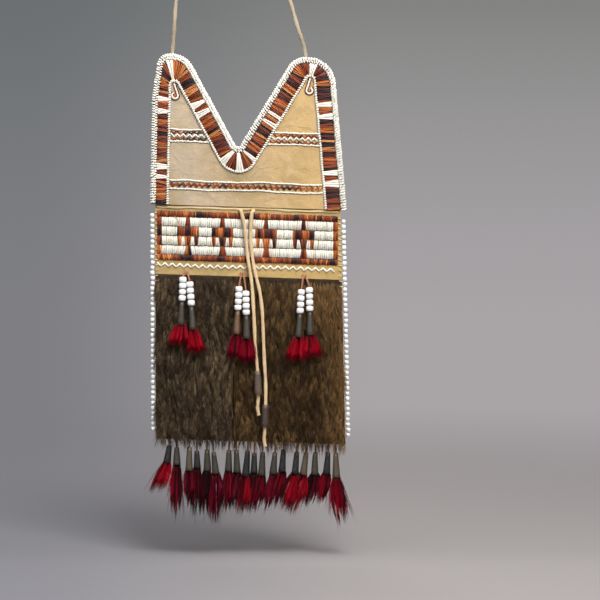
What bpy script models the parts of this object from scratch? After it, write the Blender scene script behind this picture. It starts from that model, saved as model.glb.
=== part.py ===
"""Quilled hide bag with a notched yoke, a quilled band, fur pelts and tin-cone tassels.

All sizes are in millimetres and become metres in the mesh helpers. X runs to the right, Z up and the
front faces -Y. Sizes in plan are measured from the bag's middle line (x) and from the seam where the
yoke ends and the pouch begins (z). The world origin is the point where the strap's loop hangs.
"""

import bpy
import bmesh
from math import ceil, cos, pi, radians, sin, tan
from mathutils import Vector

MM = 0.001

# Hang and drape
STRAP_LOOP_RISE = 145.8      # from the left peak up to the top of the strap's loop
HANG_OFFSET = 19.4           # the bag's middle lies this far right of the hang point
ASKEW = 0.032                # the bag hangs a little lower on its right: drop for each mm of x

# Hide and stacking
HIDE = 1.2                   # thickness of the dressed hide
GAP = 0.3                    # clearance between pieces that touch
QUILL = 0.7                  # height of flattened quillwork

# Yoke outline
YOKE_LEFT = 88.6             # half widths at the seam
YOKE_RIGHT = 86.9
LEFT_SHOULDER = 86.3         # the left side leans in more steeply above its shoulder
LEFT_SHOULDER_RISE = 96.0
LEFT_PEAK_OUTER = 80.2       # x of the sides at the height of the peaks
RIGHT_PEAK_OUTER = 75.0
LEFT_PEAK_INNER = 56.5       # x of the notch's flanks at the height of the peaks
RIGHT_PEAK_INNER = 40.5
PEAK_RISE = 135.0            # right peak above the seam
LEFT_PEAK_RISE = 134.2
NOTCH_X = -10.3
NOTCH_RISE = 50.2            # the notch's corner above the seam, before rounding
SHOULDER_ROUND = 80.0
LEFT_PEAK_OUTER_ROUND = 10.6
LEFT_PEAK_INNER_ROUND = 20.0
RIGHT_PEAK_INNER_ROUND = 18.0
RIGHT_PEAK_OUTER_ROUND = 24.0
NOTCH_ROUND = 3.0
INNER_NOTCH_ROUND = 18.6     # of the white line's inner edge
INNER_PEAK_ROUND = 5.3       # of the white line's outer edge, round the top of each tab
LEAST_ROUND = 0.8
TIGHT = 1.0                  # points of a line closer than this make a tight bend

# Edging and border
EDGING_WIDTH = 4.5
EDGING_LIP = 0.9             # thickness of the wrap before and behind the hide
EDGING_WEB = 1.5             # solid rim outside the hide's edge
EDGING_CROWN = 0.2           # share of its width where the wrap stands highest
EDGING_ROLL = 0.9            # how far its outer edge rolls back from there
EDGING_FALL = 0.2            # and how far its inner edge falls
BORDER_LEFT = 9.2            # width of the brown quill strip on the left side
BORDER_WIDTH = 12.2          # and everywhere else
INNER_LINE = 2.3             # width of a white quill line
BORDER_RIDGE_PITCH = 9.8     # bundles of quills laid across the strip
BORDER_VALLEY = 0.45         # height between bundles, as a share of the quills' own

# Zigzag rows on the yoke
TAB_ROW_TOP = 68.4
TAB_ROW_HEIGHT = 12.8
LOWER_ROW_TOP = 22.6
LOWER_ROW_HEIGHT = 9.2
ROW_PITCH = 7.6              # one whole zigzag
ROW_QUILL = 1.7              # width of a zigzag strand

# Hooks
HOOK_TOP = 3.5               # below the top of the white line round it
HOOK_DROP = 10.7
HOOK_CURL = 2.7
HOOK_THICK = 1.5
HOOK_LEAN = 3.4
HOOK_ASIDE = 1.0             # the shaft starts this far toward the bag's middle
HOOK_TURNS = (50, 100, 150, 200, 245)
HOOK_POINT_SPACING = 3.4

# Pouch
POUCH_LEFT = 84.5            # hide edge left of the middle
POUCH_RIGHT_TOP = 81.5       # hide edge right of the middle at the seam
POUCH_FLARE = 5.0            # and how much further right it runs at the bottom
POUCH_DEPTH = 212.0          # seam to bottom edge
POCKET_DEPTH = 8.0           # how far the back stands behind the front
POCKET_BELOW_NOTCH = 6.0     # where the back starts to belly out
POCKET_SHOULDER = 25.0       # width of the slope from the seams to the full depth
POCKET_CUTS = (0.0, 0.33, 0.67, 1.0)
SEAM_ALLOWANCE = 3.5         # flat margin along the side seams
MOUTH_TUCK = 5.0             # the band's hide reaches this far up behind the yoke

# Band
BAND_TOP = 5.9               # frame's top edge below the seam
FRAME_LEFT = 82.7
FRAME_RIGHT = 79.3
FRAME_BAR = 5.0              # height of the frame's top and bottom bars
FRAME_POST = 4.0             # width of its end posts
LANE = 8.5                   # height of one quilled lane
LANES = 4
LANE_SEAM = 0.9
LANE_QUILL_PITCH = 8.8
LANE_VALLEY = 0.6            # heights between folds and along a seam, as shares of the quills' own
LANE_SEAM_HEIGHT = 0.35
BAND_HEM = 62.8              # lower edge of the band's hide below the seam
BAND_ZIGZAG_DROP = 54.4
BAND_ZIGZAG_SWING = 1.6
BAND_ZIGZAG_PITCH = 6.8
BAND_ZIGZAG_WIDTH = 1.7
BAND_ZIGZAG_SHORT = 4.0      # it ends this far short of the frame's right end

# Stepped birds: their middles, and half widths of head, wings and tail
BIRD_X = (-55.2, -24.2, 14.9, 48.6)
HEAD_TOP = 1.4
HEAD_BASE = 2.3
WING_SPAN = 9.6
WING_TIP = 3.4
WING_LIFT = 0.8              # the wing tips end this far above their lane's seam
BODY_TOP = 3.6
BODY_BASE = 2.1
TAIL_TOP = 1.9
TAIL_BASE = 3.4

# Fur
PELT_SEAM_X = -15.0
PILE_TOP = 1.7
PILE_FULL = 4.6
PILE_RISE_OVER = 45.0
PILE_CURL = 0.55             # share of its depth left at the bottom edge
PILE_LEVELS = (0.0, 0.15, 0.4, 0.94)
LOCK_WIDTH = 5.8
LOCK_RELIEF = 0.5
LOCK_DROP = 1.2

# Side bead strings
SEED_BEAD = 4.7
SEED_BEAD_NECK = 1.0
BEAD_STRING_TOP = 8.0
BEAD_STRING_LIFT = 3.0       # the lowest bead above the pouch's bottom edge

# Thongs
CORD_HEAD = 8.0              # a cord's first stretch, where it bends out of its hole
CORD_HEAD_POINTS = 4
STRAP_THICK = 3.6
TIE_THICK = 3.2
FINE_THONG = 1.7
TIE_HOLE = 4.8
HANGER_SLOT = 5.0            # slot in the band for a pair of dangles
HANGER_SLOT_HEIGHT = 2.0

# Front dangles
HANGER_DROP = 59.5           # holes below the seam
PONY_BEAD = 5.9
PONY_PITCH = 5.5
PONY_BEADS = 4
CONE_LENGTH = 21.0
CONE_TOP = 3.8
CONE_MOUTH = 6.8
CONE_WALL = 0.5
CONE_SOCKET = 5.0            # depth of the mouth that holds the hair
CONE_SOCKET_TAPER = 0.8      # how much narrower it is at its end
TIE_CONE_MOUTH = 7.6
DANGLE_STAND_OFF = -4.6      # y of the bead line at the level of the holes
DANGLE_SLOPE = 0.075         # how far each mm of dangle stands off down the fur
DANGLE_BEND = 5.0            # over this drop the thong comes out to the bead line
THONG_KNOT = 1.15            # the thong's swelling between beads
BEAD_SHOULDER = 0.3          # where a bead's barrel ends, as a share of the beads' spacing
# Its hair: share of the length, of the half width, and of the socket's radius for its depth
DANGLE_HAIR = ((0.45, 0.66, 1.15), (0.85, 1.0, 1.3), (1.0, 0.8, 0.8))
HAIR_ROOT = 0.72

# Tassels
TASSEL_CONE_TOP = 3.4
TASSEL_CONE_MOUTH = 6.2
HAIR_HALF = 4.4              # half the thickness of a tassel's hair
HAIR_SWELL = ((0.45, 1.0), (0.8, 0.75))
HAIR_TIP = 0.6
TASSEL_SIDES = 6

SIDES_FINE = 8
SIDES = 6
SIDES_SMALL = 5
ARC_STEP = 22.5              # degrees that one facet of a rounded corner turns
FREE_SHARE = 0.95            # of a straight run that the bends at its ends may take

SEAM_Z = -(STRAP_LOOP_RISE + PEAK_RISE)
POCKET_TOP = NOTCH_RISE - POCKET_BELOW_NOTCH
FRAME_TOP = -BAND_TOP
LANES_TOP = FRAME_TOP - FRAME_BAR
LANES_BOTTOM = LANES_TOP - LANES * LANE
FRAME_BOTTOM = LANES_BOTTOM - FRAME_BAR

# Fronts of the layers, counted forward (-Y) from the back of the front wall
BAND_FRONT = -HIDE
YOKE_BACK = BAND_FRONT - GAP
YOKE_FRONT = YOKE_BACK - HIDE
BACK_FRONT = GAP
BORDER_INNER = EDGING_WIDTH + GAP + BORDER_WIDTH + INNER_LINE

COLOURS = {
    "hide": ((0.72, 0.52, 0.30), 0.85, 0.0),
    "thong": ((0.80, 0.60, 0.35), 0.8, 0.0),
    "white_quill": ((0.85, 0.83, 0.76), 0.5, 0.0),
    "brown_quill": ((0.33, 0.09, 0.04), 0.5, 0.0),
    "fur": ((0.10, 0.055, 0.03), 0.9, 0.0),
    "bead": ((0.9, 0.9, 0.9), 0.2, 0.0),
    "tin": ((0.20, 0.18, 0.15), 0.5, 0.8),
    "red_hair": ((0.30, 0.005, 0.02), 0.6, 0.0),
}


# Scene helpers

def clear_scene():
    for item in list(bpy.data.objects):
        bpy.data.objects.remove(item, do_unlink=True)


def material(name):
    made = bpy.data.materials.get(name)
    if made is None:
        colour, roughness, metallic = COLOURS[name]
        made = bpy.data.materials.new(name)
        made.use_nodes = True
        shader = made.node_tree.nodes["Principled BSDF"]
        shader.inputs["Base Color"].default_value = (*colour, 1.0)
        shader.inputs["Roughness"].default_value = roughness
        shader.inputs["Metallic"].default_value = metallic
        made.diffuse_color = (*colour, 1.0)
    return made


def collection(name):
    made = bpy.data.collections.new(name)
    bpy.context.scene.collection.children.link(made)
    return made


def add_object(name, mesh, stuff, location=(0.0, 0.0, 0.0), smooth=False):
    mesh.materials.append(material(stuff))
    if smooth:
        mesh.shade_smooth()
        mesh.set_sharp_from_angle(angle=radians(40))
    item = bpy.data.objects.new(name, mesh)
    item.location = location
    PARTS.objects.link(item)
    return item


def mesh_from(name, build):
    """A closed mesh made by build(bm), faces turned outward."""
    bm = bmesh.new()
    build(bm)
    bmesh.ops.remove_doubles(bm, verts=bm.verts, dist=0.00001)
    bmesh.ops.recalc_face_normals(bm, faces=bm.faces)
    mesh = bpy.data.meshes.new(name)
    bm.to_mesh(mesh)
    bm.free()
    return mesh


def world(x, y, z):
    """World point in metres of a place on the bag, which hangs askew."""
    return Vector(((x + HANG_OFFSET) * MM, y * MM, (z + SEAM_Z - ASKEW * x) * MM))


# Form helpers

def plate_mesh(name, loops, front, thickness):
    """Flat plate in the bag's plane: an outline and its windows, filled and extruded."""
    curve = bpy.data.curves.new(name, "CURVE")
    curve.dimensions = "2D"
    curve.fill_mode = "BOTH"
    curve.extrude = thickness / 2 * MM
    for loop in loops:
        spline = curve.splines.new("POLY")
        spline.points.add(len(loop) - 1)
        for point, (x, z) in zip(spline.points, loop):
            at = world(x, 0, z)
            point.co = (at.x, at.z, 0, 1)
        spline.use_cyclic_u = True
    sheet = bpy.data.objects.new(name, curve)
    PARTS.objects.link(sheet)
    mesh = bpy.data.meshes.new_from_object(sheet.evaluated_get(bpy.context.evaluated_depsgraph_get()))
    bpy.data.objects.remove(sheet)
    bpy.data.curves.remove(curve)
    middle = (front + thickness / 2) * MM
    for vertex in mesh.vertices:
        x, z, outward = vertex.co
        vertex.co = (x, middle - outward, z)
    bm = bmesh.new()
    bm.from_mesh(mesh)
    bmesh.ops.remove_doubles(bm, verts=bm.verts, dist=0.00001)
    bmesh.ops.recalc_face_normals(bm, faces=bm.faces)
    bm.to_mesh(mesh)
    bm.free()
    mesh.name = name
    return mesh


def plate(name, loops, front, thickness, stuff):
    return add_object(name, plate_mesh(name, loops, front, thickness), stuff)


def loft(bm, rings):
    """Skin a row of matching rings and close both ends."""
    rows = [[bm.verts.new(point) for point in ring] for ring in rings]
    count = len(rows[0])
    for low, high in zip(rows, rows[1:]):
        for i in range(count):
            j = (i + 1) % count
            bm.faces.new((low[i], low[j], high[j], high[i]))
    bm.faces.new(rows[0])
    bm.faces.new(list(reversed(rows[-1])))


def ring(centre, rx, ry, sides):
    """Level ring of points round a place on a hanging piece, in metres."""
    return [
        (centre[0] + rx * MM * cos(2 * pi * k / sides), centre[1] + ry * MM * sin(2 * pi * k / sides), centre[2])
        for k in range(sides)
    ]


def turned_mesh(name, profile, sides):
    """Closed turned piece about Z from (radius, height) points in mm, listed from the top down."""
    def build(bm):
        rings = [ring((0, 0, height * MM), radius, radius, sides) for radius, height in profile]
        loft(bm, rings)
    return mesh_from(name, build)


def step(t):
    t = min(max(t, 0.0), 1.0)
    return t * t * (3 - 2 * t)


def smooth_route(points, spacing):
    """Points every so many mm along a smooth curve through the chosen route points."""
    fine = []
    for i in range(len(points) - 1):
        before = points[max(i - 1, 0)]
        after = points[min(i + 2, len(points) - 1)]
        for k in range(12):
            t = k / 12
            a, b = points[i], points[i + 1]
            fine.append(0.5 * (2 * a + (b - before) * t + (2 * before - 5 * a + 4 * b - after) * t * t
                               + (3 * a - before - 3 * b + after) * t * t * t))
    fine.append(points[-1])
    total = line_length(fine)
    near = min(CORD_HEAD * MM, total / 3)
    head = [near * k / CORD_HEAD_POINTS for k in range(CORD_HEAD_POINTS)]
    count = max(int(round((total - near) / spacing)), 1)
    return along(fine, head + [near + (total - near) * k / count for k in range(count + 1)])


def line_length(points):
    return sum((b - a).length for a, b in zip(points, points[1:]))


def along(points, distances):
    """Points of a line at the given distances from its start."""
    lengths = [(b - a).length for a, b in zip(points, points[1:])]
    found = []
    leg = 0
    passed = 0.0
    for target in distances:
        while leg < len(lengths) - 1 and passed + lengths[leg] < target:
            passed += lengths[leg]
            leg += 1
        share = (target - passed) / lengths[leg]
        found.append(points[leg].lerp(points[leg + 1], min(max(share, 0.0), 1.0)))
    return found


# Yoke outline

def meet(p, d, q, e):
    """Where the line through p along d meets the line through q along e."""
    cross = d.x * e.y - d.y * e.x
    t = ((q.x - p.x) * e.y - (q.y - p.y) * e.x) / cross
    return p + d * t


def inward(a, b, inset):
    """The line from a to b moved to its right, as (point, direction)."""
    d = (b - a).normalized()
    return a + Vector((d.y, -d.x)) * inset, d


def rounded(before, corner, after, radius):
    """Points of the arc that rounds one corner, an odd number of them."""
    to_before = (before - corner).normalized()
    to_after = (after - corner).normalized()
    half = to_before.angle(to_after) / 2
    reach = radius / tan(half)
    centre = corner + (to_before + to_after).normalized() * (radius / sin(half))
    first = corner + to_before * reach - centre
    last = corner + to_after * reach - centre
    turn = pi - 2 * half
    side = 1.0 if first.x * last.y - first.y * last.x > 0 else -1.0
    count = 2 * max(int(ceil(turn / radians(2 * ARC_STEP))), 1)
    arc = []
    for k in range(count + 1):
        angle = side * turn * k / count
        arc.append(centre + Vector((first.x * cos(angle) - first.y * sin(angle),
                                    first.x * sin(angle) + first.y * cos(angle))))
    return arc


def rounded_chain(chain, radii):
    """Arcs for the corners between a chain's ends. Where two would meet on a leg, both are drawn in."""
    halves = [(a - b).angle(c - b) / 2 for a, b, c in zip(chain, chain[1:], chain[2:])]
    reaches = [max(radius, LEAST_ROUND) / tan(half) for radius, half in zip(radii, halves)]
    ends = [0.0, *reaches, 0.0]
    room = [FREE_SHARE * (b - a).length / (before + after)
            for a, b, before, after in zip(chain, chain[1:], ends, ends[1:])]
    arcs = []
    for i, (half, reach) in enumerate(zip(halves, reaches)):
        fitted = reach * min(1.0, room[i], room[i + 1])
        arcs.append(rounded(*chain[i:i + 3], fitted * tan(half)))
    return arcs


def rim_runs(left, rest):
    """The rim's straight runs from the left side to the right, moved inward."""
    corners = [
        Vector((-YOKE_LEFT, 0)),
        Vector((-LEFT_SHOULDER, LEFT_SHOULDER_RISE)),
        Vector((-LEFT_PEAK_OUTER, LEFT_PEAK_RISE)),
        Vector((-LEFT_PEAK_INNER, LEFT_PEAK_RISE)),
        Vector((NOTCH_X, NOTCH_RISE)),
        Vector((RIGHT_PEAK_INNER, PEAK_RISE)),
        Vector((RIGHT_PEAK_OUTER, PEAK_RISE)),
        Vector((YOKE_RIGHT, 0)),
    ]
    insets = [left, left, rest, rest, rest, rest, rest]
    return [inward(a, b, inset) for a, b, inset in zip(corners, corners[1:], insets)]


def halved(arc):
    """An arc as its first and second half, which share the middle point."""
    middle = len(arc) // 2
    return arc[:middle + 1], arc[middle:]


def yoke_line(inset, inner=False):
    """The rim at one even inset, its left side narrowed in step with the border. It has four legs of (x, z)
    vectors: up the left side, down the left flank of the notch, up its right flank and down the right side.
    The lines along the border's inner edge come to one bend in each tab instead of the peak's own bends."""
    beyond = max(inset - EDGING_WIDTH, 0.0)
    left = inset - min(beyond, BORDER_WIDTH) * (1 - BORDER_LEFT / BORDER_WIDTH)
    side, shoulder, left_top, left_flank, right_flank, right_top, right_side = rim_runs(left, inset)
    seam = (Vector((0, 0)), Vector((1, 0)))
    start = meet(*side, *seam)
    end = meet(*right_side, *seam)
    notch = meet(*left_flank, *right_flank)
    if inner:
        tab_round = INNER_PEAK_ROUND - (inset - BORDER_INNER + INNER_LINE)
        bends = [
            (meet(*side, *left_flank), tab_round),
            (notch, INNER_NOTCH_ROUND + inset - BORDER_INNER),
            (meet(*right_flank, *right_side), tab_round),
        ]
    else:
        bends = [
            (meet(*side, *shoulder), SHOULDER_ROUND - inset),
            (meet(*shoulder, *left_top), LEFT_PEAK_OUTER_ROUND - inset),
            (meet(*left_top, *left_flank), LEFT_PEAK_INNER_ROUND - inset),
            (notch, NOTCH_ROUND + inset),
            (meet(*right_flank, *right_top), RIGHT_PEAK_INNER_ROUND - inset),
            (meet(*right_top, *right_side), RIGHT_PEAK_OUTER_ROUND - inset),
        ]
    chain = [start, *[corner for corner, _ in bends], end]
    arcs = rounded_chain(chain, [radius for _, radius in bends])
    if inner:
        left_peak, notch_arc, right_peak = (halved(arc) for arc in arcs)
    else:
        left_top_middle = (arcs[1][-1] + arcs[2][0]) / 2
        right_top_middle = (arcs[4][-1] + arcs[5][0]) / 2
        left_peak = ([*arcs[0], *arcs[1], left_top_middle], [left_top_middle, *arcs[2]])
        notch_arc = halved(arcs[3])
        right_peak = ([*arcs[4], right_top_middle], [right_top_middle, *arcs[5]])
    return [
        [start, *left_peak[0]],
        [*left_peak[1], *notch_arc[0]],
        [*notch_arc[1], *right_peak[0]],
        [*right_peak[1], end],
    ]


def joined(legs):
    line = list(legs[0])
    for leg in legs[1:]:
        line.extend(leg[1:])
    return line


def yoke_x(z, inset, leg):
    """x of the rim's leg at a height, at an inset."""
    line = yoke_line(inset, inner=True)[leg]
    for a, b in zip(line, line[1:]):
        if min(a.y, b.y) <= z <= max(a.y, b.y) and a.y != b.y:
            return a.x + (b.x - a.x) * (z - a.y) / (b.y - a.y)
    return line[0].x


# Hide

def pouch_right(z):
    """Right edge of the pouch's hide at a height below the seam."""
    return POUCH_RIGHT_TOP + POUCH_FLARE * min(-z, POUCH_DEPTH) / POUCH_DEPTH


def pocket_depth(x, z):
    """How far the back stands behind the plane of the front wall."""
    over_side = (min(x + POUCH_LEFT, pouch_right(z) - x) - SEAM_ALLOWANCE) / POCKET_SHOULDER
    over_bottom = (z + POUCH_DEPTH) / POCKET_SHOULDER
    below_yoke = (POCKET_TOP - z) / (POCKET_TOP - MOUTH_TUCK)
    return POCKET_DEPTH * step(over_side) * step(over_bottom) * step(below_yoke)


def back_panel():
    """One hide from the peaks to the bottom seam, bellied behind the pouch to leave the pocket."""
    rim = [(p.x, p.y) for p in joined(yoke_line(EDGING_WEB + GAP))]
    below = -GAP
    outline = rim + [
        (pouch_right(0), below),
        (pouch_right(-POUCH_DEPTH), -POUCH_DEPTH),
        (-POUCH_LEFT, -POUCH_DEPTH),
        (-POUCH_LEFT, below),
    ]

    def build(bm):
        bm.faces.new([bm.verts.new((x, 0, z)) for x, z in outline])
        shoulders = [POCKET_SHOULDER * share for share in POCKET_CUTS]
        cuts_x = [side * (edge - SEAM_ALLOWANCE - s) for s in shoulders
                  for side, edge in ((-1, POUCH_LEFT), (1, pouch_right(0)))]
        cuts_z = [-POUCH_DEPTH + s for s in shoulders[1:]]
        cuts_z += [MOUTH_TUCK + (POCKET_TOP - MOUTH_TUCK) * share for share in POCKET_CUTS]
        for axis, cuts in (((1, 0, 0), cuts_x), ((0, 0, 1), cuts_z)):
            for cut in cuts:
                bmesh.ops.bisect_plane(bm, geom=[*bm.verts, *bm.edges, *bm.faces], dist=0.0001,
                                       plane_co=[cut * component for component in axis], plane_no=axis)
        bmesh.ops.triangulate(bm, faces=bm.faces)
        for vertex in bm.verts:
            x, _, z = vertex.co
            vertex.co = world(x, BACK_FRONT + pocket_depth(x, z), z)

    mesh = mesh_from("back_panel", build)
    bm = bmesh.new()
    bm.from_mesh(mesh)
    if sum(face.normal.y for face in bm.faces) > 0:
        bmesh.ops.reverse_faces(bm, faces=bm.faces)
    bm.to_mesh(mesh)
    bm.free()
    panel = add_object("back_panel", mesh, "hide")
    shell = panel.modifiers.new("hide", "SOLIDIFY")
    shell.thickness = HIDE * MM
    shell.offset = -1.0


def yoke_panel():
    rim = [(p.x, p.y) for p in joined(yoke_line(EDGING_WEB + GAP))]
    plate("yoke_panel", [rim], YOKE_FRONT, HIDE, "hide")


def hole(x, z, width, height):
    """Outline of a round hole or a short slot."""
    turns = [2 * pi * k / SIDES for k in range(SIDES)]
    return [(x + width / 2 * cos(turn), z + height / 2 * sin(turn)) for turn in turns]


def band_panel():
    """Hide top of the pouch's front, with its thong holes."""
    outline = [
        (-POUCH_LEFT, MOUTH_TUCK),
        (pouch_right(0), MOUTH_TUCK),
        (pouch_right(-BAND_HEM), -BAND_HEM),
        (-POUCH_LEFT, -BAND_HEM),
    ]
    holes = [hole(route[0][0], route[0][2], TIE_HOLE, TIE_HOLE) for route in (TIE_LEFT_ROUTE, TIE_RIGHT_ROUTE)]
    for left, right in zip(DANGLES[0::2], DANGLES[1::2]):
        holes.append(hole((left[1] + right[1]) / 2, -HANGER_DROP, HANGER_SLOT, HANGER_SLOT_HEIGHT))
    plate("band_panel", [outline, *holes], BAND_FRONT, HIDE, "hide")


# Yoke quillwork

def nearest(line, point):
    """The point of a line nearest to another point."""
    feet = []
    for a, b in zip(line, line[1:]):
        run = b - a
        share = min(max((point - a).dot(run) / run.length_squared, 0.0), 1.0)
        feet.append(a + run * share)
    return min(feet, key=lambda foot: (foot - point).length)


def border_edges():
    """The outer, middle and inner line of the quilled border."""
    outer = yoke_line(EDGING_WIDTH + 2 * GAP)
    middle = yoke_line(EDGING_WIDTH + BORDER_WIDTH / 2)
    inner = yoke_line(BORDER_INNER, inner=True)
    return outer, middle, inner


def yoke_edging():
    """Quill-wrapped rim, a channel that holds the edges of both yoke hides."""
    outer = yoke_line(0.0)
    inner = yoke_line(EDGING_WIDTH)
    front = YOKE_FRONT - GAP - EDGING_LIP
    seat = BACK_FRONT + HIDE + GAP
    back = seat + EDGING_LIP
    web = EDGING_WEB / EDGING_WIDTH
    section = [
        (0.0, front + EDGING_ROLL),
        (EDGING_CROWN, front),
        (1.0, front + EDGING_FALL),
        (1.0, YOKE_FRONT - GAP),
        (web, YOKE_FRONT - GAP),
        (web, seat),
        (1.0, seat),
        (1.0, back),
        (EDGING_CROWN, back),
        (0.0, back - EDGING_ROLL),
    ]

    def build(bm):
        rings = []
        for out, into in zip(joined(outer), joined(inner)):
            rings.append([world(out.x + (into.x - out.x) * share, y, out.y + (into.y - out.y) * share)
                          for share, y in section])
        loft(bm, rings)

    add_object("yoke_edging", mesh_from("yoke_edging", build), "white_quill")


BORDER_BACK = YOKE_FRONT - GAP
BORDER_FRONT = BORDER_BACK - QUILL
LINE_BACK = BORDER_FRONT - GAP


def border_stations(line):
    """Distances along the border's middle line: twice for each bundle, and at each point of a tight bend."""
    lengths = [(b - a).length for a, b in zip(line, line[1:])]
    count = max(int(round(sum(lengths) / BORDER_RIDGE_PITCH)), 1)
    distances = [sum(lengths) * k / (2 * count) for k in range(1, 2 * count)]
    for i, (before, after) in enumerate(zip(lengths, lengths[1:])):
        if max(before, after) < TIGHT:
            distances.append(sum(lengths[:i + 1]))
    return sorted(distances), sum(lengths) / count


def yoke_quill_border():
    """Strip of quills laid straight across, swelling at each bundle."""
    outer, middle, inner = (joined(legs) for legs in border_edges())
    distances, pitch = border_stations(middle)
    sections = [(outer[0], inner[0], 0.0)]
    for point, distance in zip(along(middle, distances), distances):
        swelling = 1 - abs(2 * (distance / pitch % 1) - 1)
        sections.append((nearest(outer, point), nearest(inner, point), swelling))
    sections.append((outer[-1], inner[-1], 0.0))

    def build(bm):
        rings = []
        for out, into, swelling in sections:
            front = BORDER_BACK - QUILL * (BORDER_VALLEY + (1 - BORDER_VALLEY) * swelling)
            rings.append([
                world(out.x, BORDER_BACK, out.y),
                world(out.x, front, out.y),
                world(into.x, front, into.y),
                world(into.x, BORDER_BACK, into.y),
            ])
        loft(bm, rings)

    add_object("yoke_quill_border", mesh_from("yoke_quill_border", build), "brown_quill")


# White wedges across the border: leg, share of its middle line, half width outside and inside
WEDGES = (
    (0, 0.195, 2.4, 1.2),
    (0, 0.268, 3.4, 1.8),
    (0, 0.658, 2.9, 1.3),
    (0, 0.744, 2.9, 1.2),
    (0, 0.961, 3.2, 0.8),
    (1, 0.414, 1.3, 3.4),
    (1, 0.498, 1.8, 3.1),
    (1, 0.937, 1.4, 3.9),
    (2, 0.009, 1.2, 3.8),
    (2, 0.089, 0.8, 2.3),
    (2, 0.426, 1.1, 2.3),
    (2, 0.506, 1.3, 1.5),
    (3, 0.033, 3.7, 1.6),
    (3, 0.297, 2.6, 1.5),
    (3, 0.376, 3.1, 1.5),
    (3, 0.753, 2.8, 1.6),
    (3, 0.826, 3.7, 1.7),
)


def at_share(line, share):
    """Point and direction at a share of a line's length."""
    lengths = [(b - a).length for a, b in zip(line, line[1:])]
    left = share * sum(lengths)
    for a, b, length in zip(line, line[1:], lengths):
        if left <= length:
            return a.lerp(b, left / length), (b - a).normalized()
        left -= length
    return line[-1], (line[-1] - line[-2]).normalized()


def wedge_corners(outer, middle, inner, leg, share, half_out, half_in):
    """Outline of one wedge, straight across the border."""
    centre, way = at_share(middle[leg], share)
    out = nearest(outer, centre)
    into = nearest(inner, centre)
    across = (into - out).normalized()
    way = Vector((-across.y, across.x))
    return [out - way * half_out, out + way * half_out, into + way * half_in, into - way * half_in]


def yoke_inner_line():
    """White line along the border's inner edge, with the wedges that cross the border."""
    line_outer = joined(yoke_line(BORDER_INNER - INNER_LINE, inner=True))
    line_inner = joined(yoke_line(BORDER_INNER, inner=True))
    wedge_outer = joined(yoke_line(EDGING_WIDTH + GAP))
    wedge_inner = joined(yoke_line(BORDER_INNER - INNER_LINE / 2, inner=True))
    middle = border_edges()[1]
    outline = [(p.x, p.y) for p in line_outer]
    outline += [(p.x, p.y) for p in reversed(line_inner)]
    body = plate("yoke_inner_line", [outline], LINE_BACK - QUILL, QUILL, "white_quill")
    wedges = []
    for leg, share, half_out, half_in in WEDGES:
        corners = wedge_corners(wedge_outer, middle, wedge_inner, leg, share, half_out, half_in)
        wedge = plate("wedge", [[(p.x, p.y) for p in corners]], LINE_BACK - QUILL, QUILL, "white_quill")
        wedges.append(wedge)
    for wedge in wedges:
        weld_on(body, wedge)


def weld_on(body, extra):
    """Join or cut one object with another and keep the result as a plain mesh."""
    cut = body.modifiers.new("join", "BOOLEAN")
    cut.operation = "UNION"
    cut.object = extra
    mesh = bpy.data.meshes.new_from_object(body.evaluated_get(bpy.context.evaluated_depsgraph_get()))
    body.modifiers.clear()
    old = body.data
    body.data = mesh
    mesh.name = body.name
    bpy.data.meshes.remove(old)
    bpy.data.objects.remove(extra, do_unlink=True)


def zigzag_row(name, top, height, left_at, right_at):
    """Two white quill lines with a zigzag strand between them, one body with windows."""
    bottom = top - height
    left = max(left_at(top), left_at(bottom))
    right = min(right_at(top), right_at(bottom))
    outline = [(left_at(top), top), (right_at(top), top), (right_at(bottom), bottom), (left_at(bottom), bottom)]
    high = top - INNER_LINE
    low = bottom + INNER_LINE
    teeth = max(int((right - left - 2 * ROW_QUILL) / ROW_PITCH), 1)
    pitch = (right - left - 2 * ROW_QUILL) / teeth
    loops = [outline]
    for k in range(teeth):
        start = left + ROW_QUILL + k * pitch
        reach = pitch / 2 - ROW_QUILL / 2
        loops.append([(start + ROW_QUILL / 2, high), (start + ROW_QUILL / 2 + 2 * reach, high),
                      (start + ROW_QUILL / 2 + reach, low + ROW_QUILL)])
        if k < teeth - 1:
            middle = start + pitch
            loops.append([(middle - reach, low), (middle + reach, low), (middle, high - ROW_QUILL)])
    plate(name, loops, YOKE_FRONT - GAP - QUILL, QUILL, "white_quill")


def yoke_rows():
    clear = BORDER_INNER + GAP

    def side_left(z):
        return yoke_x(z, clear, 0)

    def flank_left(z):
        return yoke_x(z, clear, 1)

    def flank_right(z):
        return yoke_x(z, clear, 2)

    def side_right(z):
        return yoke_x(z, clear, 3)

    zigzag_row("left_tab_zigzag", TAB_ROW_TOP, TAB_ROW_HEIGHT, side_left, flank_left)
    zigzag_row("right_tab_zigzag", TAB_ROW_TOP, TAB_ROW_HEIGHT, flank_right, side_right)
    zigzag_row("lower_zigzag_row", LOWER_ROW_TOP, LOWER_ROW_HEIGHT, side_left, side_right)


def tube(name, route, thick, spacing, stuff):
    """Round cord along a smooth line through hand-chosen route points (world metres)."""
    points = smooth_route(route, spacing * MM)
    curve = bpy.data.curves.new(name, "CURVE")
    curve.dimensions = "3D"
    curve.bevel_depth = thick / 2 * MM
    curve.bevel_resolution = 2
    curve.use_fill_caps = True
    spline = curve.splines.new("POLY")
    spline.points.add(len(points) - 1)
    for point, at in zip(spline.points, points):
        point.co = (*at, 1)
    curve.materials.append(material(stuff))
    item = bpy.data.objects.new(name, curve)
    PARTS.objects.link(item)
    return item


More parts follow.
